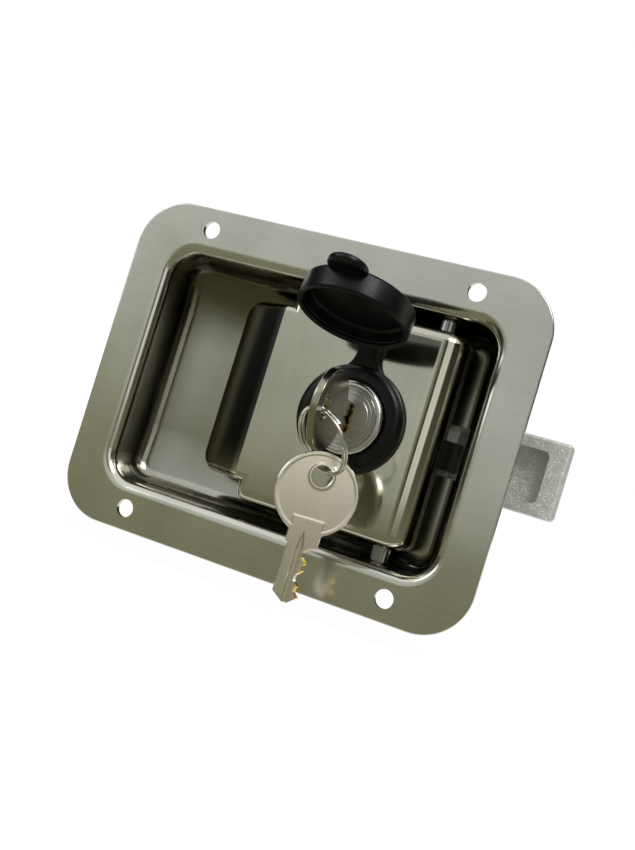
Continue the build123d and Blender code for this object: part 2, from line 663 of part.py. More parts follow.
def hanging_key():
    """The second key, hanging from the split ring."""
    x, y, z = HANG_POINT
    return Pos(x, y, z - BOW_HOLE_OUT) * Rot(0, 0, HANG_TURN) * key_blank()


def split_ring():
    """Two close turns of spring wire."""
    pitch = SPLIT_WIRE * SPLIT_PITCH
    path = Helix(pitch=pitch, height=pitch * SPLIT_TURNS, radius=SPLIT_R)
    wire = RegularPolygon(SPLIT_WIRE / 2, SPLIT_SIDES, rotation=180 / SPLIT_SIDES)
    section = Plane(origin=path @ 0, z_dir=path % 0) * wire
    ring = Pos(0, 0, -SPLIT_WIRE) * sweep(section, path=path, is_frenet=True)
    return Plane(origin=SPLIT_CENTRE, x_dir=SPLIT_X, z_dir=SPLIT_NORMAL).location * ring


# ---- crank, bolt and housing ---------------------------------------------------------------------
def crank_arm():
    """Joggled strip on the inside of the paddle's right skirt; its leg passes the floor to the bolt."""
    pad = PADDLE_RIGHT - SHEET - CRANK_T
    step = CRANK_X - pad
    drop = step / tan(radians(CRANK_BEND))
    corner = CRANK_T * tan(radians(CRANK_BEND / 2))
    outer_y, inner_y = CRANK_BEND_Y, CRANK_BEND_Y + corner
    points = [
        (pad, CRANK_PAD_Y), (pad + CRANK_T, CRANK_PAD_Y), (pad + CRANK_T, outer_y),
        (pad + CRANK_T + step, outer_y + drop), (CRANK_X + CRANK_T, CRANK_TIP_Y),
        (CRANK_X, CRANK_TIP_Y), (CRANK_X, inner_y + drop), (pad, inner_y),
    ]
    arm = prism_z(points, CRANK_Z - CRANK_W / 2, CRANK_Z + CRANK_W / 2)
    tip = edges_at_y(arm, CRANK_TIP_Y).filter_by(Axis.X)
    return fillet(tip, CRANK_TIP_CORNER)


def bolt():
    """Die-cast slam bolt: guided body, bevelled nose with a cored pocket, window for the crank."""
    half_nose, half_body = BOLT_NOSE_H / 2, BOLT_BODY_H / 2
    back = BOLT_FRONT + BOLT_T
    nose_profile = [
        (BOLT_BODY_RIGHT - CUT, BOLT_FRONT), (BOLT_NOSE_X, BOLT_FRONT),
        (BOLT_NOSE_X, BOLT_FRONT + BOLT_TIP_T), (BOLT_NOSE_X - BOLT_BEVEL_L, back),
        (BOLT_BODY_RIGHT - CUT, back),
    ]
    nose = prism_z(nose_profile, MECH_Z - half_nose, MECH_Z + half_nose)
    nose = fillet(edges_at_y(nose, BOLT_FRONT).filter_by(Axis.X), BOLT_EDGE)
    tip_edges = [e for e in nose.edges().filter_by(Axis.Y) if e.center().X > BOLT_NOSE_X - CUT]
    nose = fillet(tip_edges, BOLT_CORNER)
    body = box_at(
        BOLT_BODY_LEFT, BOLT_BODY_RIGHT, BOLT_FRONT, back, MECH_Z - half_body, MECH_Z + half_body
    )
    body = fillet(body.edges().filter_by(Axis.Y), BOLT_CORNER)
    casting = nose + body
    pocket_right = BOLT_NOSE_X - POCKET_BORDER_X
    pocket = Pos((POCKET_LEFT + pocket_right) / 2, MECH_Z) * RectangleRounded(
        pocket_right - POCKET_LEFT, BOLT_NOSE_H - 2 * POCKET_BORDER_Z, POCKET_CORNER
    )
    casting -= prism_y(pocket, BOLT_FRONT - CUT, BOLT_FRONT + POCKET_DEPTH)
    window = Pos((SLOT_LEFT + SLOT_RIGHT) / 2, MECH_Z) * RectangleRounded(
        SLOT_RIGHT - SLOT_LEFT, 2 * SLOT_HALF, SLOT_CORNER
    )
    casting -= prism_y(window, BOLT_FRONT - CUT, back + CUT)
    for side in (-1, 1):
        casting -= along_x(SPRING_BORE_R, BOLT_BODY_LEFT - CUT, SPRING_BORE_X, side)
    return casting


def spring_y():
    return BOLT_FRONT + BOLT_T / 2


def along_x(radius, x0, x1, side):
    """Round bar on the line of the bolt spring on one side."""
    bar = Rot(0, 90, 0) * Cylinder(radius, x1 - x0)
    return Pos((x0 + x1) / 2, spring_y(), MECH_Z + side * SPRING_Z) * bar


def bolt_springs():
    """The pair of compression springs from the housing's end wall into the bolt's bores."""
    coil_r = SPRING_R - SPRING_WIRE_R
    start = HOUSING_LEFT + SPRING_WIRE_R + SEAT_GAP
    length = SPRING_BORE_X - SPRING_WIRE_R - SEAT_GAP - start
    springs = []
    for side in (-1, 1):
        origin = (start, spring_y(), MECH_Z + side * SPRING_Z)
        place = Plane(origin=origin, x_dir=(0, 1, 0), z_dir=(1, 0, 0))
        springs.append(spring_along(place, coil_r, SPRING_WIRE_R, SPRING_TURNS, length))
    return Compound(children=springs)


def housing_box(grow):
    """Space of the bolt housing, at its inner faces or grown by the sheet."""
    half = BOLT_BODY_H / 2 + HOUSING_GAP + grow
    back = BOLT_FRONT + BOLT_T + HOUSING_GAP + grow
    return box_at(
        HOUSING_LEFT - grow, HOUSING_RIGHT + grow, FLOOR_BACK, back, MECH_Z - half, MECH_Z + half
    )


def bolt_housing():
    """Pressed box behind the floor, with riveted ears and an open mouth for the bolt's nose."""
    outer = housing_box(HOUSING_T)
    upright = outer.edges().filter_by(Axis.Y)
    outer = fillet(upright, 2 * HOUSING_T)
    inner = housing_box(0) + Pos(0, -CUT, 0) * housing_box(0)
    half = BOLT_BODY_H / 2 + HOUSING_GAP + HOUSING_T
    ear_left, ear_right = RIVET_X[0] - HOUSING_EAR / 2, RIVET_X[-1] + HOUSING_EAR / 2
    ears = box_at(
        ear_left, ear_right, FLOOR_BACK, FLOOR_BACK + HOUSING_T,
        MECH_Z - half - HOUSING_EAR, MECH_Z + half + HOUSING_EAR,
    )
    ears = fillet(ears.edges().filter_by(Axis.Y), EAR_CORNER)
    body = outer + ears - inner
    half_mouth = BOLT_NOSE_H / 2 + HOUSING_GAP
    mouth = box_at(
        HOUSING_RIGHT - CUT, HOUSING_RIGHT + HOUSING_T + CUT,
        FLOOR_BACK - CUT, BOLT_FRONT + BOLT_T + HOUSING_GAP, MECH_Z - half_mouth, MECH_Z + half_mouth,
    )
    body -= mouth
    for x, z in rivet_places():
        body -= disc_y(x, z, RIVET_R, FLOOR_BACK - CUT, FLOOR_BACK + HOUSING_T + CUT)
    return body


def rivet_places():
    """Centres of the housing rivets."""
    offset_z = BOLT_BODY_H / 2 + HOUSING_GAP + HOUSING_T + HOUSING_EAR / 2
    return [(x, MECH_Z + side * offset_z) for x in RIVET_X for side in (-1, 1)]


def housing_rivets():
    """Four flat-headed rivets through the floor and the housing's ears."""
    tail_y = FLOOR_BACK + HOUSING_T
    rivets = []
    for x, z in rivet_places():
        shank = disc_y(x, z, RIVET_R - RIVET_FIT, FLOOR, tail_y)
        head = disc_y(x, z, RIVET_HEAD_R, FLOOR - RIVET_HEAD_T, FLOOR)
        head = chamfer(edges_at_y(head, FLOOR - RIVET_HEAD_T), RIVET_HEAD_T * RIVET_EDGE)
        tail = disc_y(x, z, RIVET_HEAD_R * RIVET_TAIL, tail_y, tail_y + RIVET_HEAD_T)
        rivets.append(shank + head + tail)
    return Compound(children=rivets)


def spring_seats():
    """A guide stud inside each bolt spring, staked in the housing's end wall."""
    return Compound(children=[
        along_x(SEAT_R, HOUSING_LEFT, HOUSING_LEFT + SEAT_L, side) for side in (-1, 1)
    ])


PARTS = {
    "pan": pan,
    "paddle": paddle,
    "hinge_pin": hinge_pin,
    "pin_clips": pin_clips,
    "pin_bushes": pin_bushes,
    "return_spring": return_spring,
    "lock_housing": lock_housing,
    "lock_plug": lock_plug,
    "lock_washer": lock_washer,
    "lock_nut": lock_nut,
    "lock_cam": lock_cam,
    "cam_screw": cam_screw,
    "cap_ring": cap_ring,
    "cap_strap": cap_strap,
    "weather_cap": weather_cap,
    "key_in_lock": key_in_lock,
    "split_ring": split_ring,
    "hanging_key": hanging_key,
    "crank_arm": crank_arm,
    "bolt": bolt,
    "bolt_springs": bolt_springs,
    "bolt_housing": bolt_housing,
    "housing_rivets": housing_rivets,
    "spring_seats": spring_seats,
}

if __name__ == "__main__":
    os.makedirs("parts", exist_ok=True)
    for name, build in PARTS.items():
        export_step(build(), f"parts/{name}.step")
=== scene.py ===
"""Looks of a flush paddle latch: its studio, its finishes, and the pieces worked out as surfaces.

Sizes in the classes are millimetres and meshes are written in metres. +X is the way the bolt shoots,
+Z is up and -Y is the outside of the panel. The origin is the middle of the flange's back face.
"""
import logging
from dataclasses import dataclass
from enum import Enum
from functools import partialmethod
from math import asin, atan2, cos, pi, radians, sin, sqrt

import bmesh
import bpy
import numpy as np
from mathutils import Matrix, Vector


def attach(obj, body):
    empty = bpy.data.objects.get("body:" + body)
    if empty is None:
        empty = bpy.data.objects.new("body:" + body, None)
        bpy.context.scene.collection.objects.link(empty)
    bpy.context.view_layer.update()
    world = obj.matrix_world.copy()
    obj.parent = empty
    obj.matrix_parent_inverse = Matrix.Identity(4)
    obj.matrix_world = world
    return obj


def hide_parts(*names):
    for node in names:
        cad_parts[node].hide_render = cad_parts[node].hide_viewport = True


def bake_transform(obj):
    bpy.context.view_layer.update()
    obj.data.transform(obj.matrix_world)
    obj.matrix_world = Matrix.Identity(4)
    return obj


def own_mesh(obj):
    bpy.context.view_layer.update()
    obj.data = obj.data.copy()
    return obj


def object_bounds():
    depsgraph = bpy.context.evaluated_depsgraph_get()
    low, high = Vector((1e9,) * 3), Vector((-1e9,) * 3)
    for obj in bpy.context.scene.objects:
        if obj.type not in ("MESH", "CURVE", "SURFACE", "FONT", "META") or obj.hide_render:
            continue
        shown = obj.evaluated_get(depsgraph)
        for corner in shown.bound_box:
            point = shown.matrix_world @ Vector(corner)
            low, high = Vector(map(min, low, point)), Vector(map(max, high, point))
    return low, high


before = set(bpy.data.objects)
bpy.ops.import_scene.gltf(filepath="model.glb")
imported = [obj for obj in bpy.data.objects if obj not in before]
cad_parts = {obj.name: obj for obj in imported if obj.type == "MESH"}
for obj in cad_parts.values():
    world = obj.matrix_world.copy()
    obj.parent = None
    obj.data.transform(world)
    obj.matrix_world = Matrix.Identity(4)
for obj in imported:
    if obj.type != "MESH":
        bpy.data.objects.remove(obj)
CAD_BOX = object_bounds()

LOG = logging.getLogger("paddle_latch")
MM = 0.001
TURN = 2 * pi
LOCK_X, MIDDLE_Z = 19.2, 0.6  # the lock's axis, and the middle line of paddle, lock and bolt
INWARD = (1, 0, 0), (0, 1, 0)  # x and z axes of a frame whose own axis points into the panel
WHITE = (1.0, 1.0, 1.0, 1.0)
LOCK_KEY_Y = -23.9  # middle of the turned key's bow
SPARE_KEY_AT, SPARE_KEY_LEAN = (21.5, -18.8, -23.2), 26.1  # middle of the hanging key's bow, and degrees


# ---- surfaces --------------------------------------------------------------------------------
def unit(vectors: np.ndarray) -> np.ndarray:
    """Vectors divided by their own lengths."""
    return vectors / np.linalg.norm(vectors, axis=-1, keepdims=True)


def scaled(values: tuple, share: float) -> tuple:
    """Every part of a place or a colour times a share."""
    return tuple(value * share for value in values)


def turned(radius: np.ndarray, angle: np.ndarray, height: np.ndarray) -> np.ndarray:
    """Points (r cos a, r sin a, h)."""
    return np.stack(np.broadcast_arrays(radius * np.cos(angle), radius * np.sin(angle), height), -1)


def carry(points: np.ndarray, place: np.ndarray) -> np.ndarray:
    """Takes points from a frame's own axes to where its 4 x 4 matrix puts them."""
    return points @ place[:3, :3].T + place[:3, 3]


def add(name: str, data: bpy.types.ID) -> bpy.types.Object:
    """Puts a new object with that data in the scene."""
    made = bpy.data.objects.new(name, data)
    bpy.context.scene.collection.objects.link(made)
    return made


def arc(centre: tuple, radius: float, start: float, end: float, count: int = 9) -> np.ndarray:
    """Points on a circle's arc: centre plus radius times (cos a, sin a).

    Args:
        centre: the circle's middle.
        radius: its radius.
        start: first angle in degrees.
        end: last angle in degrees.
        count: how many points.

    Returns:
        An array of count points.
    """
    angle = np.radians(np.linspace(start, end, count))
    return np.array(centre) + radius * np.stack([np.cos(angle), np.sin(angle)], -1)


def rounded_box(half_width: np.ndarray, half_height: np.ndarray, radius: np.ndarray, count: int = 6) -> np.ndarray:
    """Rounded rectangles as loops: at each corner, the corner's centre plus radius times (cos a, sin a).

    Args:
        half_width: half widths, one for each loop.
        half_height: half heights.
        radius: corner radii.
        count: points on each corner.

    Returns:
        Loops of 4 x count points.
    """
    angle = (np.arange(4)[:, None] * 90 + np.linspace(0, 90, count)[None, :]).ravel()
    sign_x = np.repeat([1, -1, -1, 1], count)
    sign_y = np.repeat([1, 1, -1, -1], count)
    x = (half_width - radius)[:, None] * sign_x + radius[:, None] * np.cos(np.radians(angle))
    y = (half_height - radius)[:, None] * sign_y + radius[:, None] * np.sin(np.radians(angle))
    return np.stack([x, y], -1)


def sweep(path: np.ndarray, section: np.ndarray, reference: tuple) -> np.ndarray:
    """Carries a section along a path: each row is path + a * side + b * over.

    The tangent is the path's difference; side is the tangent crossed with the reference, and over is
    side crossed with the tangent. The first and last rows shrink to the path's ends and close it.

    Args:
        path: points of the path.
        section: loop of (a, b), or one loop for each point of the path.
        reference: a direction that the path never takes.

    Returns:
        Grid of points, one row for each point of the path and two for the ends.
    """
    tangent = unit(np.gradient(path, axis=0))
    side = unit(np.cross(tangent, np.array(reference, float)))
    over = np.cross(side, tangent)
    loops = np.broadcast_to(section, (len(path),) + section.shape[-2:])
    rows = path[:, None] + loops[..., :1] * side[:, None] + loops[..., 1:] * over[:, None]
    ends = [np.broadcast_to(path[i], rows[:1].shape) for i in (0, -1)]
    return np.concatenate([ends[0], rows, ends[1]])


def revolve(profile: np.ndarray, place: np.ndarray, columns: int = 128) -> np.ndarray:
    """Turns a profile round an axis: place * (r cos a, r sin a, h) for every angle a.

    Args:
        profile: points (r, h); a radius of 0 makes a pole.
        place: 4 x 4 matrix from the axis's own frame, whose z is the axis.
        columns: steps round the axis.

    Returns:
        Grid of points, one row for each point of the profile.
    """
    angle = np.arange(columns) * TURN / columns
    return carry(turned(profile[:, :1], angle, profile[:, 1:]), place)


def placing(origin: tuple, x_axis: tuple, z_axis: tuple) -> np.ndarray:
    """Matrix of a frame with that origin, x axis and z axis."""
    z = unit(np.array(z_axis, float))
    x = unit(np.array(x_axis, float))
    place = np.eye(4)
    place[:3, 0], place[:3, 1], place[:3, 2], place[:3, 3] = x, np.cross(z, x), z, origin
    return place


class Skin:
    """Patches of surface, in millimetres, that become one mesh."""

    WELD = 1e-7

    def __init__(self) -> None:
        """Starts empty."""
        self.points = np.zeros((0, 3))
        self.quads = np.zeros((0, 4), int)

    def patch(self, grid: np.ndarray, close_rows: bool = False, close_columns: bool = True) -> "Skin":
        """Adds a grid of points, each joined to its neighbours by quads.

        Args:
            grid: points in rows and columns.
            close_rows: whether the last row joins the first.
            close_columns: whether the last column joins the first.

        Returns:
            This skin.
        """
        rows, columns = grid.shape[:2]
        index = np.arange(rows * columns).reshape(rows, columns) + len(self.points)
        if close_rows:
            index = np.vstack([index, index[:1]])
        if close_columns:
            index = np.hstack([index, index[:, :1]])
        corners = [index[:-1, :-1], index[:-1, 1:], index[1:, 1:], index[1:, :-1]]
        self.points = np.vstack([self.points, grid.reshape(-1, 3)])
        self.quads = np.vstack([self.quads, np.stack(corners, -1).reshape(-1, 4)])
        return self

    def piece(self, name: str, crease: float = 38.0) -> bpy.types.Object:
        """Writes the mesh, merges its poles, turns its faces outwards and smooths it.

        Args:
            name: the piece's name.
            crease: angle in degrees above which an edge stays sharp.

        Returns:
            The new object, at the origin.
        """
        mesh = bpy.data.meshes.new(name)
        mesh.from_pydata((self.points * MM).tolist(), [], self.quads.tolist())
        shape = bmesh.new()
        shape.from_mesh(mesh)
        bmesh.ops.remove_doubles(shape, verts=shape.verts, dist=self.WELD)
        bmesh.ops.dissolve_degenerate(shape, edges=shape.edges, dist=self.WELD)
        bmesh.ops.recalc_face_normals(shape, faces=shape.faces)
        shape.to_mesh(mesh)
        shape.free()
        mesh.shade_smooth()
        mesh.set_sharp_from_angle(angle=radians(crease))
        return add(name, mesh)


# ---- shader maths ------------------------------------------------------------------------------
class Value:
    """A number on its way through a node tree; its operators add Math nodes."""

    def __init__(self, tree: "Tree", socket: bpy.types.NodeSocket) -> None:
        """Wraps an output socket of a tree."""
        self.tree = tree
        self.socket = socket

    def _math(self, operation: str, *terms: object) -> "Value":
        """One Math node on this value and the given terms."""
        return self.tree.value("ShaderNodeMath", {"operation": operation}, dict(enumerate((self, *terms))))

    __add__ = __radd__ = partialmethod(_math, "ADD")
    __mul__ = __rmul__ = partialmethod(_math, "MULTIPLY")
    __sub__ = partialmethod(_math, "SUBTRACT")
    __truediv__ = partialmethod(_math, "DIVIDE")
    size = partialmethod(_math, "ABSOLUTE")

    def __rsub__(self, other: float) -> "Value":
        """Difference from a number."""
        return self.tree.value("ShaderNodeMath", {"operation": "SUBTRACT"}, {0: other, 1: self})

    def ramp(self, low: float, high: float) -> "Value":
        """0 below low, 1 above high, and smooth between them."""
        settings = {"interpolation_type": "SMOOTHSTEP"}
        return self.tree.value("ShaderNodeMapRange", settings, {0: self, 1: low, 2: high})


class Tree:
    """The node tree of a material or of the world."""

    def __init__(self, name: str, owner: bpy.types.World | None = None) -> None:
        """Empties the owner's tree; without an owner it makes a material."""
        self.owner = owner or bpy.data.materials.new(name)
        self.owner.use_nodes = True
        self.nodes = self.owner.node_tree.nodes
        self.nodes.clear()

    def node(self, kind: str, settings: dict | None = None, inputs: dict | None = None) -> bpy.types.Node:
        """Adds a node, sets its own settings first and then its sockets.

        Args:
            kind: Blender's name of the node type.
            settings: the node's own attributes.
            inputs: numbers, colours or links by socket name or number.

        Returns:
            The node.
        """
        made = self.nodes.new(kind)
        for name, setting in (settings or {}).items():
            setattr(made, name, setting)
        for name, given in (inputs or {}).items():
            if isinstance(given, Value):
                self.owner.node_tree.links.new(given.socket, made.inputs[name])
            else:
                made.inputs[name].default_value = given
        return made

    def value(self, kind: str, settings: dict | None = None, inputs: dict | None = None, output: object = 0) -> Value:
        """Adds a node and wraps one of its outputs."""
        return Value(self, self.node(kind, settings, inputs).outputs[output])

    def parts(self, vector: Value) -> list:
        """The three parts of a vector."""
        return [Value(self, output) for output in self.node("ShaderNodeSeparateXYZ", None, {0: vector}).outputs]

    def dot(self, vector: Value, way: tuple) -> Value:
        """How far a vector goes one way."""
        return self.value("ShaderNodeVectorMath", {"operation": "DOT_PRODUCT"}, {0: vector, 1: way}, "Value")

    def place(self, scale: tuple = (1, 1, 1), origin: tuple = (0, 0, 0), turn: tuple = (0, 0, 0)) -> Value:
        """Object coordinates, moved so that origin is 0, turned and then scaled."""
        coordinates = self.value("ShaderNodeTexCoord", output="Object")
        moved = self.value("ShaderNodeVectorMath", {"operation": "SUBTRACT"}, {0: coordinates, 1: origin})
        inputs = {"Vector": moved, "Rotation": turn, "Scale": scale}
        return self.value("ShaderNodeMapping", {"vector_type": "POINT"}, inputs)

    def noise(self, place: Value, scale: float, detail: float = 3.0, rough: float = 0.55) -> Value:
        """Fractal noise from 0 to 1."""
        inputs = {"Vector": place, "Scale": scale, "Detail": detail, "Roughness": rough}
        return self.value("ShaderNodeTexNoise", None, inputs)

    def blend(self, amount: object, low: object, high: object) -> Value:
        """Colour that goes from low to high as amount goes from 0 to 1."""
        settings = {"data_type": "RGBA", "blend_type": "MIX"}
        low, high = ((*c, 1.0) if isinstance(c, tuple) else c for c in (low, high))
        return self.value("ShaderNodeMix", settings, {0: amount, 6: low, 7: high}, 2)

    def bump(self, height: Value, distance: float, strength: object = 1.0) -> Value:
        """Normal of a height field, whose distance is in metres."""
        inputs = {"Height": height, "Distance": distance, "Strength": strength}
        return self.value("ShaderNodeBump", None, inputs, "Normal")

    def surface(self, **inputs: object) -> bpy.types.Material:
        """Closes the tree with a Principled shader; underscores in names stand for spaces."""
        named = {name.replace("_", " "): given for name, given in inputs.items()}
        named = {n: (*g, 1.0) if isinstance(g, tuple) and len(g) == 3 else g for n, g in named.items()}
        return self.close(self.value("ShaderNodeBsdfPrincipled", None, named))

    def close(self, shader: Value, output: str = "ShaderNodeOutputMaterial") -> bpy.types.ID:
        """Sends a shader to the tree's output and returns the owner."""
        self.node(output, None, {"Surface": shader})
        return self.owner


# ---- finishes ------------------------------------------------------------------------------------
class Grain(Enum):
    """Which way the brushing of a sheet runs."""

    ALONG_X = (40.0, 700.0, 900.0)
    ALONG_Z = (900.0, 700.0, 40.0)


@dataclass(frozen=True)
class Coat:
    """What every finish has: its name, its slot and a way to make its material."""

    name: str
    slot: str

    def material(self) -> bpy.types.Material:
        """Makes the material; each finish says how."""
        raise NotImplementedError


@dataclass(frozen=True)
class PaintedDishShade:
    """Painted shade: where the sheet's tone darkens on the walls and the floor of its dish.

    The lengths count from the dish's top edge and side edges; the shares are of the painted shade's dark tone.
    """

    half_x: float
    half_z: float
    top: float
    floor: float
    over_from: float = 30.0
    over_to: float = 11.0
    over_most: float = 0.95
    side_from: float = 13.0
    side_low: float = 0.5
    floor_share: float = 0.4
    level: float = 0.3
    outward: tuple = (0.002, 0.01)

    def dark(self, tree: Tree) -> Value:
        """Share of the painted shade: some on the floor, more under the top and on the sides, none outside.

        It leaves out faces whose normal points up or away from the middle.
        """
        x, y, z = tree.parts(tree.place())
        across, _, up = tree.parts(tree.value("ShaderNodeNewGeometry", output="Normal"))
        half_x, half_z = self.half_x * MM, self.half_z * MM
        # painted shade: strongest under the dish's top edge and beside its walls
        over = z.ramp(half_z - self.over_from * MM, half_z - self.over_to * MM) * self.over_most
        over = over * (1 - up.ramp(0.0, self.level))
        beside = x.size().ramp(half_x - self.side_from * MM, half_x)
        beside = beside * (self.side_low + (1 - self.side_low) * z.ramp(-half_z, half_z))
        beside = beside * (1 - (across * x).ramp(*self.outward))
        most = 1 - (1 - over) * (1 - beside)
        deep = y.ramp(self.top * MM, self.floor * MM)
        return deep * (self.floor_share + most * (1 - self.floor_share))


@dataclass(frozen=True)
class SheetSteel(Coat):
    """Rolled stainless sheet, from satin to mirror, with painted shade mixed into its tone."""

    colour: tuple
    roughness: float
    streak: float
    wave: float
    grain: Grain = Grain.ALONG_X
    dish: PaintedDishShade | None = None
    # dark tone of the painted shade and of the tongue's painted dark reflection, and where they fall
    dark: tuple = (0.10, 0.095, 0.06)
    behind: tuple = (2.0, 5.0)
    tongue_x: tuple = (-13.5, -11.5)
    tongue_y: tuple = (-1.3, 0.2)
    painted_shade_most: float = 0.92

    def inner(self, tree: Tree) -> Value:
        """Share of the painted shade behind the sheet's front, and of a painted dark reflection on the finger tongue.
        """
        x, y, _ = tree.parts(tree.place())
        behind = y.ramp(*scaled(self.behind, MM))
        tongue = (1 - x.ramp(*scaled(self.tongue_x, MM))) * y.ramp(*scaled(self.tongue_y, MM))
        return (1 - (1 - behind) * (1 - tongue)) * self.painted_shade_most

    def material(self) -> bpy.types.Material:
        """Grain streaks in roughness and bump, cloudy tone, a slow wave of the sheet, and painted shade in the tone.
        """
        tree = Tree(self.name)
        streaks = tree.noise(tree.place(self.grain.value), 1.0, 4.0, 0.6)
        cloud = tree.noise(tree.place(), 38.0, 2.0)
        fine = tree.noise(tree.place(), 900.0, 2.0)
        tone = tree.blend((cloud * 0.75 + streaks * 0.25).ramp(0.3, 0.7), scaled(self.colour, 0.86), self.colour)
        rough = self.roughness + (streaks - 0.5) * self.streak + (cloud - 0.5) * self.streak * 0.5
        height = streaks * (self.streak * 0.04) + fine * (self.streak * 0.05) + cloud * self.wave
        # painted shade: the dish's where there is one, else behind the front, with a painted dark reflection on the
        # tongue
        tone = tree.blend(self.dish.dark(tree) if self.dish else self.inner(tree), tone, self.dark)
        return tree.surface(Base_Color=tone, Metallic=1.0, Roughness=rough, Normal=tree.bump(height, MM))


@dataclass(frozen=True)
class PlatedMetal(Coat):
    """Bright plating on a turned or pressed piece, with fine rub marks."""

    colour: tuple
    roughness: float
    blotch: float = 0.5

    def material(self) -> bpy.types.Material:
        """Crystals of plating in the tone, and rub marks in the roughness."""
        tree = Tree(self.name)
        place = tree.place()
        crystals = tree.value("ShaderNodeTexVoronoi", {"feature": "F1"}, {"Vector": place, "Scale": 420.0})
        rubs = tree.noise(tree.place((1.0, 1.0, 5.0), turn=(0.5, 0.3, 0.8)), 260.0, 4.0, 0.7)
        dark = scaled(self.colour, 1 - 0.4 * self.blotch)
        tone = tree.blend((crystals * 0.5 + rubs * 0.5).ramp(0.15, 0.7), dark, self.colour)
        rough = self.roughness + (rubs - 0.5) * 0.22
        return tree.surface(Base_Color=tone, Metallic=1.0, Roughness=rough, Normal=tree.bump(rubs, 0.00008, 0.4))


@dataclass(frozen=True)
class CastZinc(Coat):
    """Die-cast zinc as it leaves the tumbler: grainy and matt, with bright specks."""

    colour: tuple

    def material(self) -> bpy.types.Material:
        """Coarse and fine grain in the bump, specks in the tone and roughness."""
        tree = Tree(self.name)
        place = tree.place()
        coarse = tree.noise(place, 420.0, 5.0, 0.7)
        specks = tree.value("ShaderNodeTexVoronoi", {"feature": "F1"}, {"Vector": place, "Scale": 1500.0})
        bright = (1 - specks).ramp(0.62, 0.9)
        tone = tree.blend(coarse.ramp(0.3, 0.72) * 0.7 + bright * 0.3, scaled(self.colour, 0.68), self.colour)
        return tree.surface(
            Base_Color=tone, Metallic=0.85, Roughness=0.62 - bright * 0.3 - coarse * 0.12,
            Normal=tree.bump(coarse * 0.6 + bright * 0.4, 0.00025, 0.8),
        )


@dataclass(frozen=True)
class Rubber(Coat):
    """Moulded black rubber with a soft sheen and a little dust."""

    colour: tuple = (0.0025, 0.0028, 0.0025)
    roughness: float = 0.29

    def material(self) -> bpy.types.Material:
        """Fine pitting, worn lighter patches and a bloom of dust."""
        tree = Tree(self.name)
        place = tree.place()
        pits = tree.noise(place, 1600.0, 3.0)
        bloom = tree.noise(place, 130.0, 4.0, 0.65).ramp(0.45, 0.75)
        tone = tree.blend(bloom * 0.7, self.colour, scaled(self.colour, 2.2))
        return tree.surface(
            Base_Color=tone, Roughness=self.roughness + bloom * 0.14 + (pits - 0.5) * 0.1, Specular_IOR_Level=0.22,
            Normal=tree.bump(pits, 0.00006, 0.5),
        )


@dataclass(frozen=True)
class KeyMetal(Coat):
    """Nickel-plated brass: plating on the faces, bare brass where the bitting is cut."""

    origin: tuple
    cut_axis: tuple
    blade_axis: tuple
    face_axis: tuple
    nickel: tuple
    brass: tuple = (0.78, 0.55, 0.12)
    past_middle: tuple = (1.3, 1.8)
    past_stop: tuple = (15.8, 16.4)
    flat: tuple = (0.84, 0.95)
    back: tuple = (0.3, 0.5)

    def material(self) -> bpy.types.Material:
        """Brass shows past the blade's middle and below the stop, but not on a face or where it turns to the back."""
        tree = Tree(self.name)
        local = tree.place(origin=scaled(self.origin, MM))
        scratch = tree.noise(tree.place((1.0, 1.0, 7.0), turn=(0.2, 0.7, 0.4)), 300.0, 5.0, 0.75)
        smudge = tree.noise(tree.place(), 120.0, 3.0)
        facing = tree.dot(tree.value("ShaderNodeNewGeometry", output="True Normal"), self.face_axis)
        bare = (1 - facing.size().ramp(*self.flat)) * (1 - facing.ramp(*self.back))
        bare = bare * tree.dot(local, self.cut_axis).ramp(*scaled(self.past_middle, MM))
        bare = bare * tree.dot(local, self.blade_axis).ramp(*scaled(self.past_stop, MM))
        plate = tree.blend((scratch * 0.5 + smudge * 0.5).ramp(0.3, 0.65), scaled(self.nickel, 0.95), self.nickel)
        tone = tree.blend(bare, plate, self.brass)
        return tree.surface(
            Base_Color=tone, Metallic=1.0, Roughness=0.2 + (scratch - 0.4) * 0.06 + (smudge - 0.5) * 0.06,
            Normal=tree.bump(scratch, 0.00002, 0.5),
        )


@dataclass(frozen=True)
class PlugMetal(Coat):
    """Nickel face of the turning plug over its brass core."""

    face_y: float
    centre: tuple
    core_half: float

    def material(self) -> bpy.types.Material:
        """The core shows inside the keyway: near its middle line and behind the face, its brass broken by near-black
        patches of painted shade.
        """
        tree = Tree(self.name)
        place = tree.place(origin=(self.centre[0] * MM, self.face_y * MM, self.centre[1] * MM))
        across, depth, _ = tree.parts(place)
        near = 1 - across.size().ramp((self.core_half - 0.02) * MM, (self.core_half + 0.08) * MM)
        core = near * depth.ramp(-0.0002, -0.0001)
        rubs = tree.noise(tree.place(), 500.0, 4.0, 0.7)
        # brass of the wafers, in patches, with near-black painted shade between them
        brass = tree.blend(tree.noise(place, 900.0, 2.0).ramp(0.42, 0.56), (0.05, 0.035, 0.01), (0.50, 0.33, 0.09))
        tone = tree.blend(core, (0.60, 0.58, 0.54), brass)
        return tree.surface(
            Base_Color=tone, Metallic=1.0, Roughness=0.3 + (rubs - 0.5) * 0.2,
            Normal=tree.bump(rubs, 0.00006, 0.5),
        )


def dress(name: str, coat: Coat) -> None:
    """Gives a CAD node a finish.

    Args:
        name: the node.
        coat: any finish of this file.
    """
    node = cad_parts[name]
    node.data.materials.clear()
    finish(node, coat)
    LOG.info("dressed %s in %s", name, coat.name)


def finish(piece: bpy.types.Object, coat: Coat) -> None:
    """Gives a piece its finish."""
    piece.data.materials.append(coat.material())


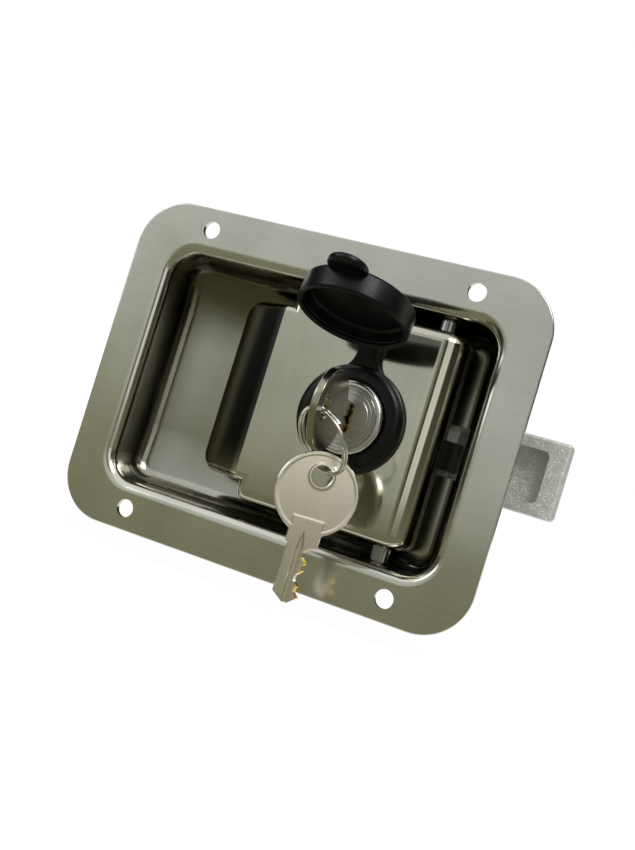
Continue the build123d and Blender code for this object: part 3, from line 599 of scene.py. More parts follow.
def fit(piece: bpy.types.Object, coat: Coat, body: str, *replaced: str) -> None:
    """Finishes a new piece, hangs it on its body and hides the solids that it stands for.

    Args:
        piece: the piece.
        coat: its finish.
        body: the CAD body that it moves with.
        replaced: the CAD nodes that it replaces.
    """
    finish(piece, coat)
    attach(piece, body)
    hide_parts(*replaced)
    LOG.info("built %s on %s: %d faces", piece.name, body, len(piece.data.polygons))


def cut_away(piece: bpy.types.Object, tool: bpy.types.Object, crease: float = 30.0) -> None:
    """Takes a closed tool out of a piece and removes the tool; sharper edges than the crease stay."""
    cut = piece.modifiers.new("cut", "BOOLEAN")
    cut.operation, cut.solver, cut.object = "DIFFERENCE", "EXACT", tool
    graph = bpy.context.evaluated_depsgraph_get()
    mesh = bpy.data.meshes.new_from_object(piece.evaluated_get(graph))
    piece.modifiers.clear()
    piece.data = mesh
    mesh.set_sharp_from_angle(angle=radians(crease))
    bpy.data.objects.remove(tool)


# ---- sub-assemblies --------------------------------------------------------------------------------
@dataclass(frozen=True)
class DrawnPan:
    """The pan, with the floor of its dish risen towards the walls, where drawn sheet never lies quite flat."""

    half_x: float = 55.5
    half_z: float = 38.5
    reach: float = 20.0
    rise: float = 2.4
    wall: tuple = (5.0, 13.0)
    clear: tuple = (6.0, 22.0)
    # depths where the dish's painted shade starts and is full
    dark: tuple = (4.0, 13.0)
    pitch: float = 2.0
    weld: float = 1e-3
    near: float = 4e-3

    def lift(self, points: np.ndarray) -> np.ndarray:
        """How far each place of the sheet stands forward; nothing by the lock and the bolt.

        Args:
            points: (n, 3) places in millimetres.

        Returns:
            (n,) lifts in millimetres.
        """
        x, y, z = points.T
        beside = np.clip((-x - self.half_x) / self.reach + 1, 0, 1)
        over = np.clip((np.abs(z) - self.half_z) / self.reach + 1, 0, 1)
        deep = np.clip((y - self.wall[0]) / (self.wall[1] - self.wall[0]), 0, 1)
        clear = np.clip((self.clear[1] - x) / (self.clear[1] - self.clear[0]), 0, 1)
        smooth = deep**2 * (3 - 2 * deep) * clear**2 * (3 - 2 * clear)
        return self.rise * (beside**2 + over**2) * smooth

    def slope(self, points: np.ndarray) -> np.ndarray:
        """Gradient of the lift, (n, 3)."""
        step = 1e-3
        sides = [(self.lift(points + way) - self.lift(points - way)) / (2 * step) for way in np.eye(3) * step]
        return np.stack(sides, axis=1)

    def cut(self, mesh: bpy.types.Mesh) -> None:
        """Joins the seams, then cuts the dish's faces into strips that are narrow enough to bend."""
        inner_x, inner_z = self.half_x - self.reach, self.half_z - self.reach
        across = [*np.arange(-self.half_x, -inner_x + self.pitch, self.pitch), *np.arange(*self.clear, self.pitch)]
        up = np.arange(inner_z, self.half_z, self.pitch)
        planes = [((x, 0, 0), (1, 0, 0)) for x in across] + [((0, 0, z), (0, 0, 1)) for z in (*up, *-up)]
        shape = bmesh.new()
        shape.from_mesh(mesh)
        bmesh.ops.remove_doubles(shape, verts=shape.verts, dist=self.weld * MM)
        for place, way in planes:
            deep = [face for face in shape.faces if face.calc_center_median().y > self.wall[0] * MM]
            parts = {part for face in deep for part in (*face.verts, *face.edges)}
            place = [value * MM for value in place]
            bmesh.ops.bisect_plane(shape, geom=[*parts, *deep], dist=self.near * MM, plane_co=place, plane_no=way)
        bmesh.ops.dissolve_degenerate(shape, edges=shape.edges, dist=self.weld * MM)
        bmesh.ops.triangulate(shape, faces=[face for face in shape.faces if len(face.verts) > 3])
        shape.to_mesh(mesh)
        shape.free()

    def build(self) -> None:
        """Lifts a copy of the solid's mesh and turns its exact normals with it."""
        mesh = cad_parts["pan"].data.copy()
        mesh.materials.clear()
        normals = np.empty(3 * len(mesh.loops), dtype=np.float32)
        mesh.corner_normals.foreach_get("vector", normals)
        mesh.attributes.new("exact", "FLOAT_VECTOR", "CORNER").data.foreach_set("vector", normals)
        self.cut(mesh)
        places, corners = np.empty(3 * len(mesh.vertices)), np.empty(len(mesh.loops), dtype=np.int32)
        normals = np.empty(3 * len(mesh.loops), dtype=np.float32)
        mesh.vertices.foreach_get("co", places)
        mesh.loops.foreach_get("vertex_index", corners)
        mesh.attributes["exact"].data.foreach_get("vector", normals)
        places, normals = places.reshape(-1, 3) / MM, normals.reshape(-1, 3)
        slope = self.slope(places)[corners]
        normals = unit(normals + slope * normals[:, 1:2] / (1 - slope[:, 1:2]))
        places[:, 1] -= self.lift(places)
        mesh.vertices.foreach_set("co", (places * MM).ravel())
        mesh.attributes.remove(mesh.attributes["exact"])
        mesh.shade_smooth()
        mesh.normals_split_custom_set(normals.tolist())
        piece = add("drawn_pan", mesh)
        # painted shade on the dish's walls and floor
        dish = PaintedDishShade(self.half_x, self.half_z, *self.dark)
        coat = SheetSteel("satin steel", "flange_steel", (0.61, 0.605, 0.54), 0.17, 0.06, 0.03, dish=dish)
        fit(piece, coat, "frame", "pan")


@dataclass
class LockWork:
    """The cylinder lock in the paddle: head, threaded barrel, plug, nut and cam."""

    x: float = LOCK_X
    z: float = MIDDLE_Z
    head_radius: float = 11.3
    head_front: float = -7.8
    head_seat: float = -4.2
    roll: float = 1.3
    lip: float = 0.12
    recess_radius: float = 9.5
    recess_seat: float = -5.42
    bore: float = 6.58
    barrel_radius: float = 9.5
    barrel_end: float = 19.0
    flat_half: float = 8.0
    thread_pitch: float = 1.1
    thread_depth: float = 0.5
    plug_sink: float = 0.3
    keyway_mouth: float = 2.0
    keyway_reach: float = 4.4
    keyway_corner: float = 1.0
    face_thickness: float = 0.26
    columns: int = 144

    def frame(self) -> np.ndarray:
        """The lock's frame, with its axis into the panel."""
        return placing((self.x, 0, self.z), *INWARD)

    def body(self) -> bpy.types.Object:
        """Head, rim and barrel as one turned surface.

        The radius past the head is crest less depth times a cosine of (h / pitch - a / turn), which
        is a thread, and never more than the flat's distance over cos a, which leaves the two flats.
        """
        front, seat, lip = self.head_front, self.head_seat, self.lip
        rim = np.vstack([
            arc((self.recess_radius + lip, front + lip), lip, 180, 270, 5),
            arc((self.head_radius - self.roll, front + self.roll), self.roll, 270, 360, 12),
        ])
        count = int((self.barrel_end - seat) / self.thread_pitch * 12)
        barrel = np.stack([np.full(count, self.barrel_radius), np.linspace(seat, self.barrel_end, count)], -1)
        profile = np.vstack([
            [(self.bore, self.barrel_end), (self.bore, self.recess_seat), (self.recess_radius, self.recess_seat)],
            rim, [(self.head_radius, seat)], barrel,
        ])
        grid = revolve(profile, np.eye(4), self.columns)
        angle = np.arange(self.columns) * TURN / self.columns
        height = barrel[:, 1][:, None]
        wave = 0.5 - 0.5 * np.cos(TURN * (height / self.thread_pitch) - angle)
        run_out = np.clip((height - 0.6) / 0.8, 0, 1) * np.clip((self.barrel_end - height) / 0.5 + 0.6, 0, 1)
        thread = self.barrel_radius - self.thread_depth * wave * run_out
        flat = self.flat_half / np.maximum(np.abs(np.cos(angle)), 1e-3)
        grid[-count:] = turned(np.minimum(thread, flat), angle, height)
        return Skin().patch(carry(grid, self.frame()), close_rows=True).piece("lock_body")

    def face(self) -> bpy.types.Object:
        """Thin turned face of the plug: a flat inside two grooves and a raised edge, cut by the keyway."""
        t = self.face_thickness
        profile = np.array([
            (0, 0.05), (6.9, 0.05), (7.05, 0.16), (7.2, 0.16), (7.35, 0.05), (8.1, 0.05), (8.25, 0.2),
            (8.45, 0.2), (8.6, 0.07), (9.3, 0.0), (9.38, 0.06), (9.38, t), (0, t),
        ])
        place = placing((self.x, self.head_front + self.plug_sink - t, self.z), *INWARD)
        face = Skin().patch(revolve(profile, place, 128)).piece("plug_face", 20.0)
        sizes = (self.keyway_mouth, self.keyway_reach, self.keyway_corner)
        box = rounded_box(*(np.array([size]) for size in sizes))[0]
        ends = np.array([(self.x, self.head_front - 1, self.z), (self.x, self.head_front + 2, self.z)])
        cut_away(face, Skin().patch(sweep(ends, box, (0, 0, 1))).piece("keyway_tool"))
        return face

    def build(self) -> None:
        """Makes the lock body and dresses the rest of the lock."""
        fit(self.face(), PlatedMetal("plug face satin", "lock_nickel", (0.50, 0.505, 0.48), 0.3, 0.2), "plug")
        fit(self.body(), PlatedMetal("lock nickel", "lock_nickel", (0.56, 0.55, 0.50), 0.24, 0.15),
            "paddle", "lock_housing")
        dress("lock_plug", PlugMetal(
            "plug metal", "lock_nickel", self.head_front + self.plug_sink, (self.x, self.z), self.keyway_mouth
        ))
        for name in ("lock_nut", "lock_washer", "lock_cam", "cam_screw"):
            dress(name, PlatedMetal(name + " zinc", "zinc_plate", (0.62, 0.61, 0.57), 0.34))


@dataclass
class WeatherCap:
    """The rubber ring round the lock, the strap and the opened cap with its finger tab."""

    x: float = LOCK_X
    z: float = MIDDLE_Z
    front: float = -1.5
    ring_radius: float = 16.8
    ring_height: float = 4.4
    ring_edge: float = 1.6
    ring_bore: float = 9.75
    ring_recess: float = 11.55
    ring_seat: float = -4.2
    cap_radius: float = 16.7
    cap_height: float = 7.4
    cap_wall: float = 1.7
    cap_top: float = 1.9
    cap_edge: float = 1.2
    cap_seat: float = 1.5
    bead: float = 0.25
    opening: float = 107.0
    hinge_y: float = -6.8
    hinge_z: float = 21.6
    tab_radius: float = 5.8
    tab_out: float = 0.8
    tab_thickness: float = 2.0
    tab_edge: float = 0.7
    strap_width: float = 6.6
    strap_thickness: float = 1.3
    strap_flare: float = 5.0
    flare_power: float = 2.6
    root: float = 3.3
    strap_bow: float = 2.2

    def rubber(self, name: str) -> Rubber:
        """The rubber of one piece."""
        return Rubber(name + " rubber", "rubber_black")

    def cap_frame(self) -> np.ndarray:
        """Frame on the middle of the opened cap's top: z out of its mouth, y away from the hinge."""
        turn = radians(self.opening)
        dy = self.cap_seat - self.cap_height
        dz = self.z - self.hinge_z
        y = self.hinge_y + dy * cos(turn) + dz * sin(turn)
        z = self.hinge_z - dy * sin(turn) + dz * cos(turn)
        return placing((self.x, y, z), (1, 0, 0), (0, cos(turn), -sin(turn)))

    def ring(self) -> bpy.types.Object:
        """Domed ring: a turned profile with a round shoulder and a lip over the lock's head."""
        top = -self.ring_height
        profile = np.vstack([
            [(self.ring_bore, 0.0), (self.ring_radius - 0.3, 0.0), (self.ring_radius, -0.3)],
            arc((self.ring_radius - 3.0, -self.ring_edge + 0.2), 3.0, 0, -72, 10),
            arc((self.ring_recess + 0.7, top + 0.6), 0.6, -80, -180, 7),
            [(self.ring_recess, self.ring_seat - self.front), (self.ring_bore, self.ring_seat - self.front)],
        ])
        place = placing((self.x, self.front, self.z), *INWARD)
        return Skin().patch(revolve(profile, place, 144), close_rows=True).piece("rubber_ring")

    def cap(self) -> bpy.types.Object:
        """Cup turned from one profile, with a bead inside its mouth, and a round tab with a rim.

        The tab is a disc turned from its own profile and set beyond the cup's edge.
        """
        r, h, e, wall = self.cap_radius, self.cap_height, self.cap_edge, self.cap_wall
        inner = r - wall
        lip = wall / 2
        cup = np.vstack([
            [(0.0, 0.0)], arc((r - e, e), e, -90, 0, 8),
            [(r - 0.12, h * 0.45)], arc((r - lip, h - lip), lip, 0, 180, 12),
            arc((inner, h - wall), self.bead, 60, 300, 7),
            arc((inner - e, self.cap_top + e), e, 0, -90, 7), [(0.0, self.cap_top)],
        ])
        place = self.cap_frame()
        t, edge, radius = self.tab_thickness, self.tab_edge, self.tab_radius
        tab = np.vstack([
            [(0.0, 0.35), (radius - 1.9, 0.35), (radius - 1.5, 0.0)], arc((radius - edge, edge), edge, -90, 0, 6),
            arc((radius - edge, t - edge), edge, 0, 90, 6), [(0.0, t)],
        ])
        shift = np.eye(4)
        shift[1, 3] = r + self.tab_out
        skin = Skin().patch(revolve(cup, place, 144)).patch(revolve(tab, place @ shift, 64))
        return skin.piece("rubber_cap")

    def strap(self) -> bpy.types.Object:
        """Waisted band swept along an arc from the ring's edge to the cap's edge.

        The path is the circle through its two ends and a middle point that stands off the hinge line;
        the section is a rounded box whose half width grows with a power of the way from the waist.
        """
        place = self.cap_frame()
        thick = self.strap_thickness
        far = place[:3, 3] - place[:3, 1] * (self.cap_radius - self.root) + place[:3, 2] * self.cap_top / 2
        near_z = self.z + self.ring_radius - self.root
        near_y = self.front - self.ring_edge / 2 - thick / 2
        middle = np.array([self.hinge_y + self.strap_bow, (near_z + far[2]) / 2])
        a, b, c = np.array([near_y, near_z]), middle, np.array([far[1], far[2]])
        rows = 2 * np.array([b - a, c - a])
        centre = np.linalg.solve(rows, np.array([b @ b - a @ a, c @ c - a @ a]))
        angles = [atan2(*(p - centre)[::-1]) for p in (a, b, c)]
        angles = [angle + TURN * (angle < angles[1] - pi) - TURN * (angle > angles[1] + pi) for angle in angles]
        along = np.linspace(angles[0], angles[2], 40)
        radius = np.linalg.norm(a - centre)
        arch = centre + radius * np.stack([np.cos(along), np.sin(along)], -1)
        path = np.column_stack([np.full(40, self.x), arch])
        way = np.linspace(-1, 1, 40)
        half = self.strap_width / 2 + self.strap_flare * np.abs(way) ** self.flare_power
        box = rounded_box(np.full(40, thick / 2), half, np.full(40, thick * 0.45))
        return Skin().patch(sweep(path, box, (1, 0, 0))).piece("rubber_strap")

    def build(self) -> None:
        """Makes ring, cap and strap; the strap arches from the ring to the cap and hangs on no body."""
        fit(self.ring(), self.rubber("ring"), "paddle", "cap_ring")
        fit(self.cap(), self.rubber("cap"), "cap", "weather_cap")
        strap = self.strap()
        finish(strap, self.rubber("strap"))
        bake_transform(strap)
        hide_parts("cap_strap")
        LOG.info("built %s across paddle and cap", strap.name)


@dataclass
class Key:
    """A cut key: round bow with a hole, neck, and a grooved blade with its bitting."""

    name: str
    place: np.ndarray
    nickel: tuple = (0.78, 0.75, 0.67)
    thickness: float = 2.1
    bow_radius: float = 12.15
    hole_radius: float = 3.0
    hole_out: float = 5.2
    neck_half: float = 4.8
    neck_end: float = 15.1
    blade_half: float = 4.1
    blade_length: float = 16.8
    groove: float = 2.5
    groove_depth: float = 0.7
    groove_off: float = 0.3
    groove_rise: float = 4.0
    pitch: float = 3.4
    depths: tuple = (2.3, 1.2, 2.6, 1.6)
    bevel: float = 0.28
    cut_bevel: float = 0.95
    rim: float = 0.9
    relief: float = 0.07
    bead: float = 0.75
    step: float = 0.3
    blend_power: float = 9.0

    def halves(self, z: np.ndarray) -> tuple:
        """Half widths on the plain side and on the cut side at each height.

        The bow is the root of R squared less z squared, joined to the neck by a power mean, which
        rounds the corner between them. The blade's cut side loses, for each cut, its depth less the
        way past the cut's flat.

        Args:
            z: heights from the bow's centre.

        Returns:
            The two arrays.
        """
        bow = np.sqrt(np.maximum(self.bow_radius ** 2 - z ** 2, 0))
        neck = np.where(z < 0, self.neck_half, 0.0)
        head = (bow ** self.blend_power + neck ** self.blend_power) ** (1 / self.blend_power)
        tip = -self.neck_end - self.blade_length
        point = np.clip((z - tip) / (0.6 * self.blade_half), 0, 1)
        plain = self.blade_half * (0.2 + 0.8 * point)
        centres = -self.neck_end - self.pitch * (np.arange(len(self.depths)) + 0.75)
        away = np.abs(z[:, None] - centres) - self.pitch / 5
        loss = np.clip(np.array(self.depths) - np.maximum(away, 0), 0, None).max(axis=1)
        cut = np.minimum(plain, self.blade_half - loss)
        on_blade = z < -self.neck_end
        return np.where(on_blade, plain, head), np.where(on_blade, cut, head)

    def sunk(self, x: np.ndarray, z: np.ndarray) -> np.ndarray:
        """How far the front lies below half the thickness.

        A bevel falls with the distance to the outline; the bow's face is sunk inside its rim, down to
        the neck's raised pad; a bead stands round the hole; and a tapering V is milled in the blade.

        Args:
            x: places across the key.
            z: heights from the bow's centre.

        Returns:
            The depths; the bead's are negative.
        """
        from_centre = np.hypot(x, z)
        inside = np.clip((self.bow_radius - self.rim - from_centre) / self.step, 0, 1)
        off_pad = np.clip(np.hypot(np.maximum(np.abs(x) - 4.4, 0), np.maximum(z + 7.4, 0)) / self.step, 0, 1)
        from_hole = np.hypot(x, z - self.hole_out) - self.hole_radius
        bead = np.clip(1 - ((from_hole - self.bead / 2) / (self.bead / 2)) ** 2, 0, 1)
        near_hole = np.clip((self.bead + self.step - from_hole) / self.step, 0, 1)
        rise = -self.neck_end + self.groove_rise
        half = np.maximum(self.groove / 2 * np.clip((rise - z) / 5.0, 0, 1), 1e-4)
        milled = np.clip(1.6 * (1 - np.abs(x + self.groove_off) / half), 0, 1) * (z < rise)
        face = self.relief * (inside * off_pad * (1 - near_hole) - 0.6 * bead)
        return face + self.groove_depth * milled

    def blank(self) -> bpy.types.Object:
        """Skin of the key: at each height, a loop across its front and back.

        The columns share out the width evenly, with two more at each edge for the bevel.
        """
        r, stop, tip = self.bow_radius, -self.neck_end, -self.neck_end - self.blade_length
        bow = r * np.cos(np.linspace(0, pi * 0.62, 100))
        z = np.concatenate([bow, np.linspace(bow[-1] - 0.15, stop + 0.02, 50), np.linspace(stop - 0.02, tip, 120)])
        plain, cut = self.halves(z)
        width = plain + cut
        bevel = np.minimum(self.bevel, width * 0.2)[:, None]
        slope = np.minimum(np.where(z < stop, self.cut_bevel, self.bevel), width * 0.2)[:, None]
        share = np.linspace(0, 1, 97)[None, :]
        x = (bevel - plain[:, None]) + share * (width[:, None] - bevel - slope)
        height = np.broadcast_to(z[:, None], x.shape)
        face = self.thickness / 2 - self.sunk(x, height)
        back = self.thickness / 2 - self.sunk(-x, height)
        side, cut_side = self.thickness / 2 - bevel, self.thickness / 2 - slope
        left, right, flat = -plain[:, None], cut[:, None], z[:, None]
        loops = np.concatenate([
            np.stack([left, -side, flat], -1), np.stack([x, -face, height], -1),
            np.stack([right, -cut_side, flat], -1), np.stack([right, cut_side, flat], -1),
            np.stack([x, back, height], -1)[:, ::-1], np.stack([left, side, flat], -1),
        ], axis=1)
        ends = [np.broadcast_to(loops[i].mean(axis=0), loops[:1].shape) for i in (0, -1)]
        grid = np.concatenate([ends[0], loops, ends[1]])
        return Skin().patch(carry(grid, self.place)).piece(self.name, 25.0)

    def drill(self) -> bpy.types.Object:
        """Closed tool for the bow's hole, wider at both faces."""
        half, r, b = self.thickness / 2, self.hole_radius, self.bevel / 2
        profile = np.array([
            (0, -half - 1), (r + b + 1, -half - 1), (r, b - half), (r, half - b), (r + b + 1, half + 1), (0, half + 1)
        ])
        hole = self.place @ placing((0, 0, self.hole_out), (1, 0, 0), (0, -1, 0))
        return Skin().patch(revolve(profile, hole, 64)).piece(self.name + "_drill")

    def build(self, body: str, node: str) -> None:
        """Makes the key on its body."""
        key = self.blank()
        cut_away(key, self.drill())
        metal = KeyMetal(
            self.name + " metal", "key_nickel", tuple(self.place[:3, 3]),
            tuple(self.place[:3, 0]), tuple(-self.place[:3, 2]), tuple(self.place[:3, 1]), self.nickel,
        )
        fit(key, metal, body, node)


@dataclass
class KeyRing:
    """Two turns of round wire through the bows of both keys."""

    radius: float = 10.0
    wire: float = 1.0
    turns: float = 1.9
    pitch: float = 1.02
    centre: tuple = (20.7, -24.5, -8.2)
    normal: tuple = (0.434, 0.694, 0.575)
    start: tuple = (0.694, -0.434, 0.0)

    def build(self) -> None:
        """A round section carried along a flat helix: (R cos t, R sin t, pitch t / turn)."""
        t = np.linspace(0, self.turns * TURN, 260)
        coil = turned(self.radius, t, self.pitch * t / TURN - self.wire)
        path = carry(coil, placing(self.centre, self.start, self.normal))
        circle = arc((0, 0), self.wire / 2, 0, 360, 17)[:-1]
        ring = Skin().patch(sweep(path, circle, self.normal)).piece("key_ring_wire")
        fit(ring, PlatedMetal("ring nickel", "key_nickel", (0.72, 0.70, 0.66), 0.14, 0.15), "ring", "split_ring")


@dataclass
class Paddlework:
    """The pressed paddle, its hinge pin with clips and bushes, the crank and the return spring."""

    hinge: tuple = (37.7, 7.0)
    wire: float = 0.7
    coil: float = 4.1
    turns: float = 4.0
    pitch: float = 1.75
    leg: float = 15.0
    low: float = -26.7
    face_gap: float = 6.2
    floor_gap: float = 8.7

    def spring(self) -> bpy.types.Object:
        """Torsion spring: a leg along the face, the coil round the pin, and a leg along the floor.

        The coil is a helix, and each leg goes on straight along the coil's tangent at its end.
        """
        reach, lean = sqrt(self.coil ** 2 + self.leg ** 2), atan2(self.coil, self.leg)
        face = asin(self.face_gap / reach) - lean
        floor = asin(self.floor_gap / reach) - lean
        turns = self.turns + (pi - face - floor) / TURN
        t = np.linspace(0, turns * TURN, int(turns * 40))
        angle = t + face - pi / 2
        rise = self.pitch / TURN
        helix = turned(self.coil, angle, rise * t)
        slope = unit(turned(self.coil, angle + pi / 2, rise))
        legs = np.linspace(0, 1, 12)[:, None] * self.leg
        path = np.vstack([helix[0] - slope[0] * legs[:0:-1], helix, helix[-1] + slope[-1] * legs[1:]])
        path = path + np.array([*self.hinge, self.low])
        circle = arc((0, 0), self.wire, 0, 360, 15)[:-1]
        return Skin().patch(sweep(path, circle, (0, 0, 1))).piece("paddle_spring")

    def build(self) -> None:
        """Dresses the paddle's pieces and makes the spring."""
        # the paddle's tone carries painted shade behind its front and a painted dark reflection on the finger tongue
        dress("paddle", SheetSteel(
            "polished steel", "paddle_steel", (0.54, 0.53, 0.44), 0.12, 0.008, 0.02, Grain.ALONG_Z
        ))
        # pin, clips, bushes and crank take dark copies of the zinc plate: painted shade for the gap beside the paddle
        pin = PlatedMetal("pin steel", "zinc_plate", (0.17, 0.165, 0.15), 0.28, 0.2)
        for name in ("hinge_pin", "pin_clips"):
            dress(name, pin)
        dress("pin_bushes", PlatedMetal("bush zinc", "zinc_plate", (0.30, 0.30, 0.29), 0.2))
        dress("crank_arm", PlatedMetal("crank steel", "zinc_plate", (0.17, 0.165, 0.145), 0.3, 0.3))
        spring = self.spring()
        finish(spring, PlatedMetal("spring wire", "spring_steel", (0.46, 0.45, 0.43), 0.26, 0.3))
        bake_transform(spring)
        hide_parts("return_spring")


@dataclass
class BoltWork:
    """The slam bolt, its housing with rivets, and the two springs on their posts."""

    z: float = MIDDLE_Z
    offset: float = 13.0
    y: float = 24.6
    start: float = 30.85
    end: float = 56.55
    radius: float = 2.45
    wire: float = 0.35
    turns: float = 6.0
    shut_share: float = 0.47
    ease: float = 0.07

    def springs(self) -> bpy.types.Object:
        """Compression springs whose pitch closes at both ends.

        The way along the axis is the turns' share less a sine that slows it at the first and last turn.
        """
        t = np.linspace(0, 1, 300)
        angle = t * (self.turns + 3) * TURN
        along = t - self.ease * np.sin(TURN * t)
        x = self.start + (self.end - self.start) * along
        circle = arc((0, 0), self.wire, 0, 360, 11)[:-1]
        skin = Skin()
        for side in (-1, 1):
            path = np.stack([
                x, self.y + self.radius * np.cos(angle), self.z + side * self.offset + self.radius * np.sin(angle)
            ], -1)
            skin.patch(sweep(path, circle, (1, 0, 0)))
        return skin.piece("bolt_spring_pair")

    def build(self) -> None:
        """Dresses the bolt and its housing and makes the springs."""
        dress("bolt", CastZinc("cast zinc", "zinc_cast", (0.88, 0.88, 0.84)))
        dress("bolt_housing", PlatedMetal("housing zinc", "zinc_plate", (0.58, 0.575, 0.55), 0.36))
        dress("housing_rivets", PlatedMetal("rivet steel", "zinc_plate", (0.64, 0.63, 0.60), 0.3, 0.3))
        dress("spring_seats", PlatedMetal("post steel", "zinc_plate", (0.58, 0.57, 0.55), 0.3, 0.3))
        springs = self.springs()
        fit(springs, PlatedMetal("bolt spring wire", "spring_steel", (0.5, 0.49, 0.46), 0.24, 0.3),
            "frame", "bolt_springs")
        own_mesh(springs)


# ---- studio --------------------------------------------------------------------------------------
@dataclass
class Card:
    """A large matt card that the metal reflects, lighter at one end than at the other."""

    name: str
    centre: tuple
    facing: tuple
    size: tuple
    dark: tuple
    light: tuple
    along: tuple
    reach: float

    def build(self) -> None:
        """A square of points across the facing direction, with an even ramp of light along one way."""
        z = unit(np.array(self.facing, float))
        across = np.array((1.0, 0, 0)) if abs(z[2]) > 0.9 else unit(np.cross((0, 0, 1), z))
        over = np.cross(z, across)
        s, t = np.meshgrid(np.linspace(-0.5, 0.5, 9), np.linspace(-0.5, 0.5, 9))
        grid = np.array(self.centre) + s[..., None] * across * self.size[0] + t[..., None] * over * self.size[1]
        card = Skin().patch(grid, close_columns=False).piece(self.name)
        tree = Tree(self.name)
        share = tree.dot(tree.place(origin=scaled(self.centre, MM)), tuple(unit(np.array(self.along, float))))
        tone = tree.blend((share / (self.reach * MM) + 0.5).ramp(0.0, 1.0), self.dark, self.light)
        card.data.materials.append(tree.close(tree.value("ShaderNodeEmission", None, {"Color": tone})))
        card.visible_camera = card.visible_shadow = card.visible_diffuse = False


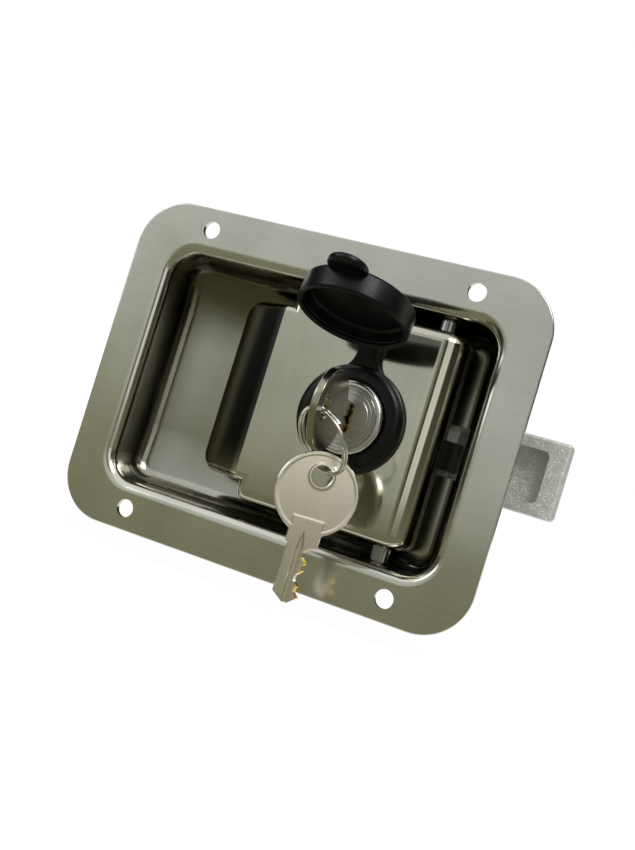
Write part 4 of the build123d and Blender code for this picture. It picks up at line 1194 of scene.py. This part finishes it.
@dataclass
class Studio:
    """Pale floor, white surround, soft boxes, reflecting cards and the camera."""

    eye: tuple = (116.07, -297.43, -13.0)
    forward: tuple = (-0.33874, 0.94043, 0.02916)
    up: tuple = (-0.26730, -0.12591, 0.95535)
    focal_pixels: float = 1033.6
    picture_height: float = 850.0
    floor_gap: float = 6.0
    floor_size: float = 6.0
    ambient: float = 0.55
    floor_glow: float = 1.05
    floor_share: float = 0.9

    def camera(self) -> None:
        """Camera from its place, its direction and its up vector."""
        data = bpy.data.cameras.new("camera")
        data.sensor_width = 36.0
        data.lens = self.focal_pixels * data.sensor_width / self.picture_height
        data.clip_start, data.clip_end = 0.01, 50.0
        camera = add("camera", data)
        back = -Vector(self.forward).normalized()
        right = Vector(self.up).cross(back).normalized()
        over = back.cross(right)
        matrix = Matrix((right, over, back)).transposed().to_4x4()
        matrix.translation = Vector(self.eye) * MM
        camera.matrix_world = matrix
        bpy.context.scene.camera = camera

    def seen(self, tree: Tree) -> Value:
        """1 for camera, glossy and transmission rays, which see the plain white surround."""
        path = tree.node("ShaderNodeLightPath")
        rays = [Value(tree, path.outputs[f"Is {kind} Ray"]) for kind in ("Camera", "Glossy", "Transmission")]
        return (rays[0] + rays[1] + rays[2]).ramp(0.0, 1.0)

    def world(self) -> None:
        """White to the camera and in reflections, softer as a lamp."""
        world = bpy.data.worlds.new("surround")
        bpy.context.scene.world = world
        tree = Tree("surround", world)
        strength = self.ambient + self.seen(tree) * (1 - self.ambient)
        background = tree.value("ShaderNodeBackground", None, {"Color": WHITE, "Strength": strength})
        tree.close(background, "ShaderNodeOutputWorld")

    def floor(self) -> None:
        """Pale floor just under the latch: white to the camera, with the shadow that falls on it."""
        level = CAD_BOX[0].z / MM - self.floor_gap
        reach = np.linspace(-0.5, 0.5, 5) * self.floor_size / MM
        x, y = np.meshgrid(reach, reach)
        floor = Skin().patch(np.stack([x, y, level + 0 * x], -1), close_columns=False).piece("floor")
        if floor.data.polygons[0].normal.z < 0:
            floor.data.flip_normals()
        tree = Tree("pale floor")
        matt = tree.value("ShaderNodeBsdfDiffuse", None, {"Color": (0.86, 0.86, 0.85, 1.0)})
        glow = tree.value("ShaderNodeEmission", None, {"Color": WHITE, "Strength": self.floor_glow})
        share = self.seen(tree) * self.floor_share
        mixed = tree.value("ShaderNodeMixShader", None, {0: share, 1: matt, 2: glow})
        floor.data.materials.append(tree.close(mixed))

    def lamp(self, name: str, at: tuple, size: float, power: float) -> None:
        """A square soft box that looks at the latch."""
        data = bpy.data.lights.new(name, "AREA")
        data.size, data.energy = size, power
        lamp = add(name, data)
        lamp.location = Vector(at)
        lamp.rotation_euler = (-Vector(at)).to_track_quat("-Z", "Y").to_euler()

    def build(self) -> None:
        """Sets up the whole studio."""
        self.camera()
        self.world()
        self.floor()
        self.lamp("key box", (0.7, -0.9, 1.1), 0.6, 9.0)
        self.lamp("fill box", (-1.1, -0.8, 0.5), 0.8, 4.0)
        cards = (
            Card("front card", (-620, -1150, 60), (0, 1, 0), (1200, 1500),
                 (0.29, 0.29, 0.185), (0.66, 0.69, 0.67), (0.4, 0, 0.92), 620),
            Card("middle card", (200, -1150, 60), (0, 1, 0), (440, 1500),
                 (0.34, 0.34, 0.26), (0.012, 0.01, 0.007), (1, 0, 0), 300),
            Card("front right card", (745, -1150, 60), (0, 1, 0), (280, 1500),
                 (0.80, 0.76, 0.64), (1.0, 0.97, 0.88), (0, 0, 1), 900),
            Card("left card", (-1250, -50, 60), (1, 0, 0), (2200, 1500),
                 (0.003, 0.003, 0.004), (0.05, 0.06, 0.07), (0, 0, 1), 500),
            Card("right card", (1250, -300, 60), (-1, 0, 0), (1700, 1500),
                 (0.20, 0.20, 0.14), (0.012, 0.009, 0.005), (0, 0, 1), 700),
            Card("top card", (0, 850, 900), (0, 0, -1), (3000, 1500),
                 (0.30, 0.30, 0.25), (0.012, 0.012, 0.01), (0, 1, 0), 1200),
            Card("back card", (0, 1250, 150), (0, -1, 0), (3000, 1700),
                 (0.02, 0.02, 0.017), (0.035, 0.035, 0.03), (0, 0, 1), 900),
            Card("low card", (0, -760, -59), (0, 0, 1), (2400, 1500),
                 (0.30, 0.30, 0.20), (0.24, 0.23, 0.16), (1, 0, 0), 1600),
        )
        for card in cards:
            card.build()


def main() -> None:
    """Builds the studio and every sub-assembly."""
    logging.basicConfig(level=logging.INFO, format="%(name)s: %(message)s")
    bpy.context.scene.view_settings.view_transform = "Standard"
    Studio().build()
    DrawnPan().build()
    Paddlework().build()
    LockWork().build()
    WeatherCap().build()
    lock_key = placing((LOCK_X, LOCK_KEY_Y, MIDDLE_Z), (0, 0, 1), (0, -1, 0))
    # the key in the lock takes a darker copy of the spare key's nickel: painted shade
    Key("key_turned", lock_key, (0.34, 0.32, 0.25)).build("key", "key_in_lock")
    lean = radians(SPARE_KEY_LEAN)
    spare_key = placing(SPARE_KEY_AT, (cos(lean), sin(lean), 0), (0, 0, 1))
    Key("key_spare", spare_key).build("spare_key", "hanging_key")
    KeyRing().build()
    BoltWork().build()


if __name__ == "__main__":
    main()
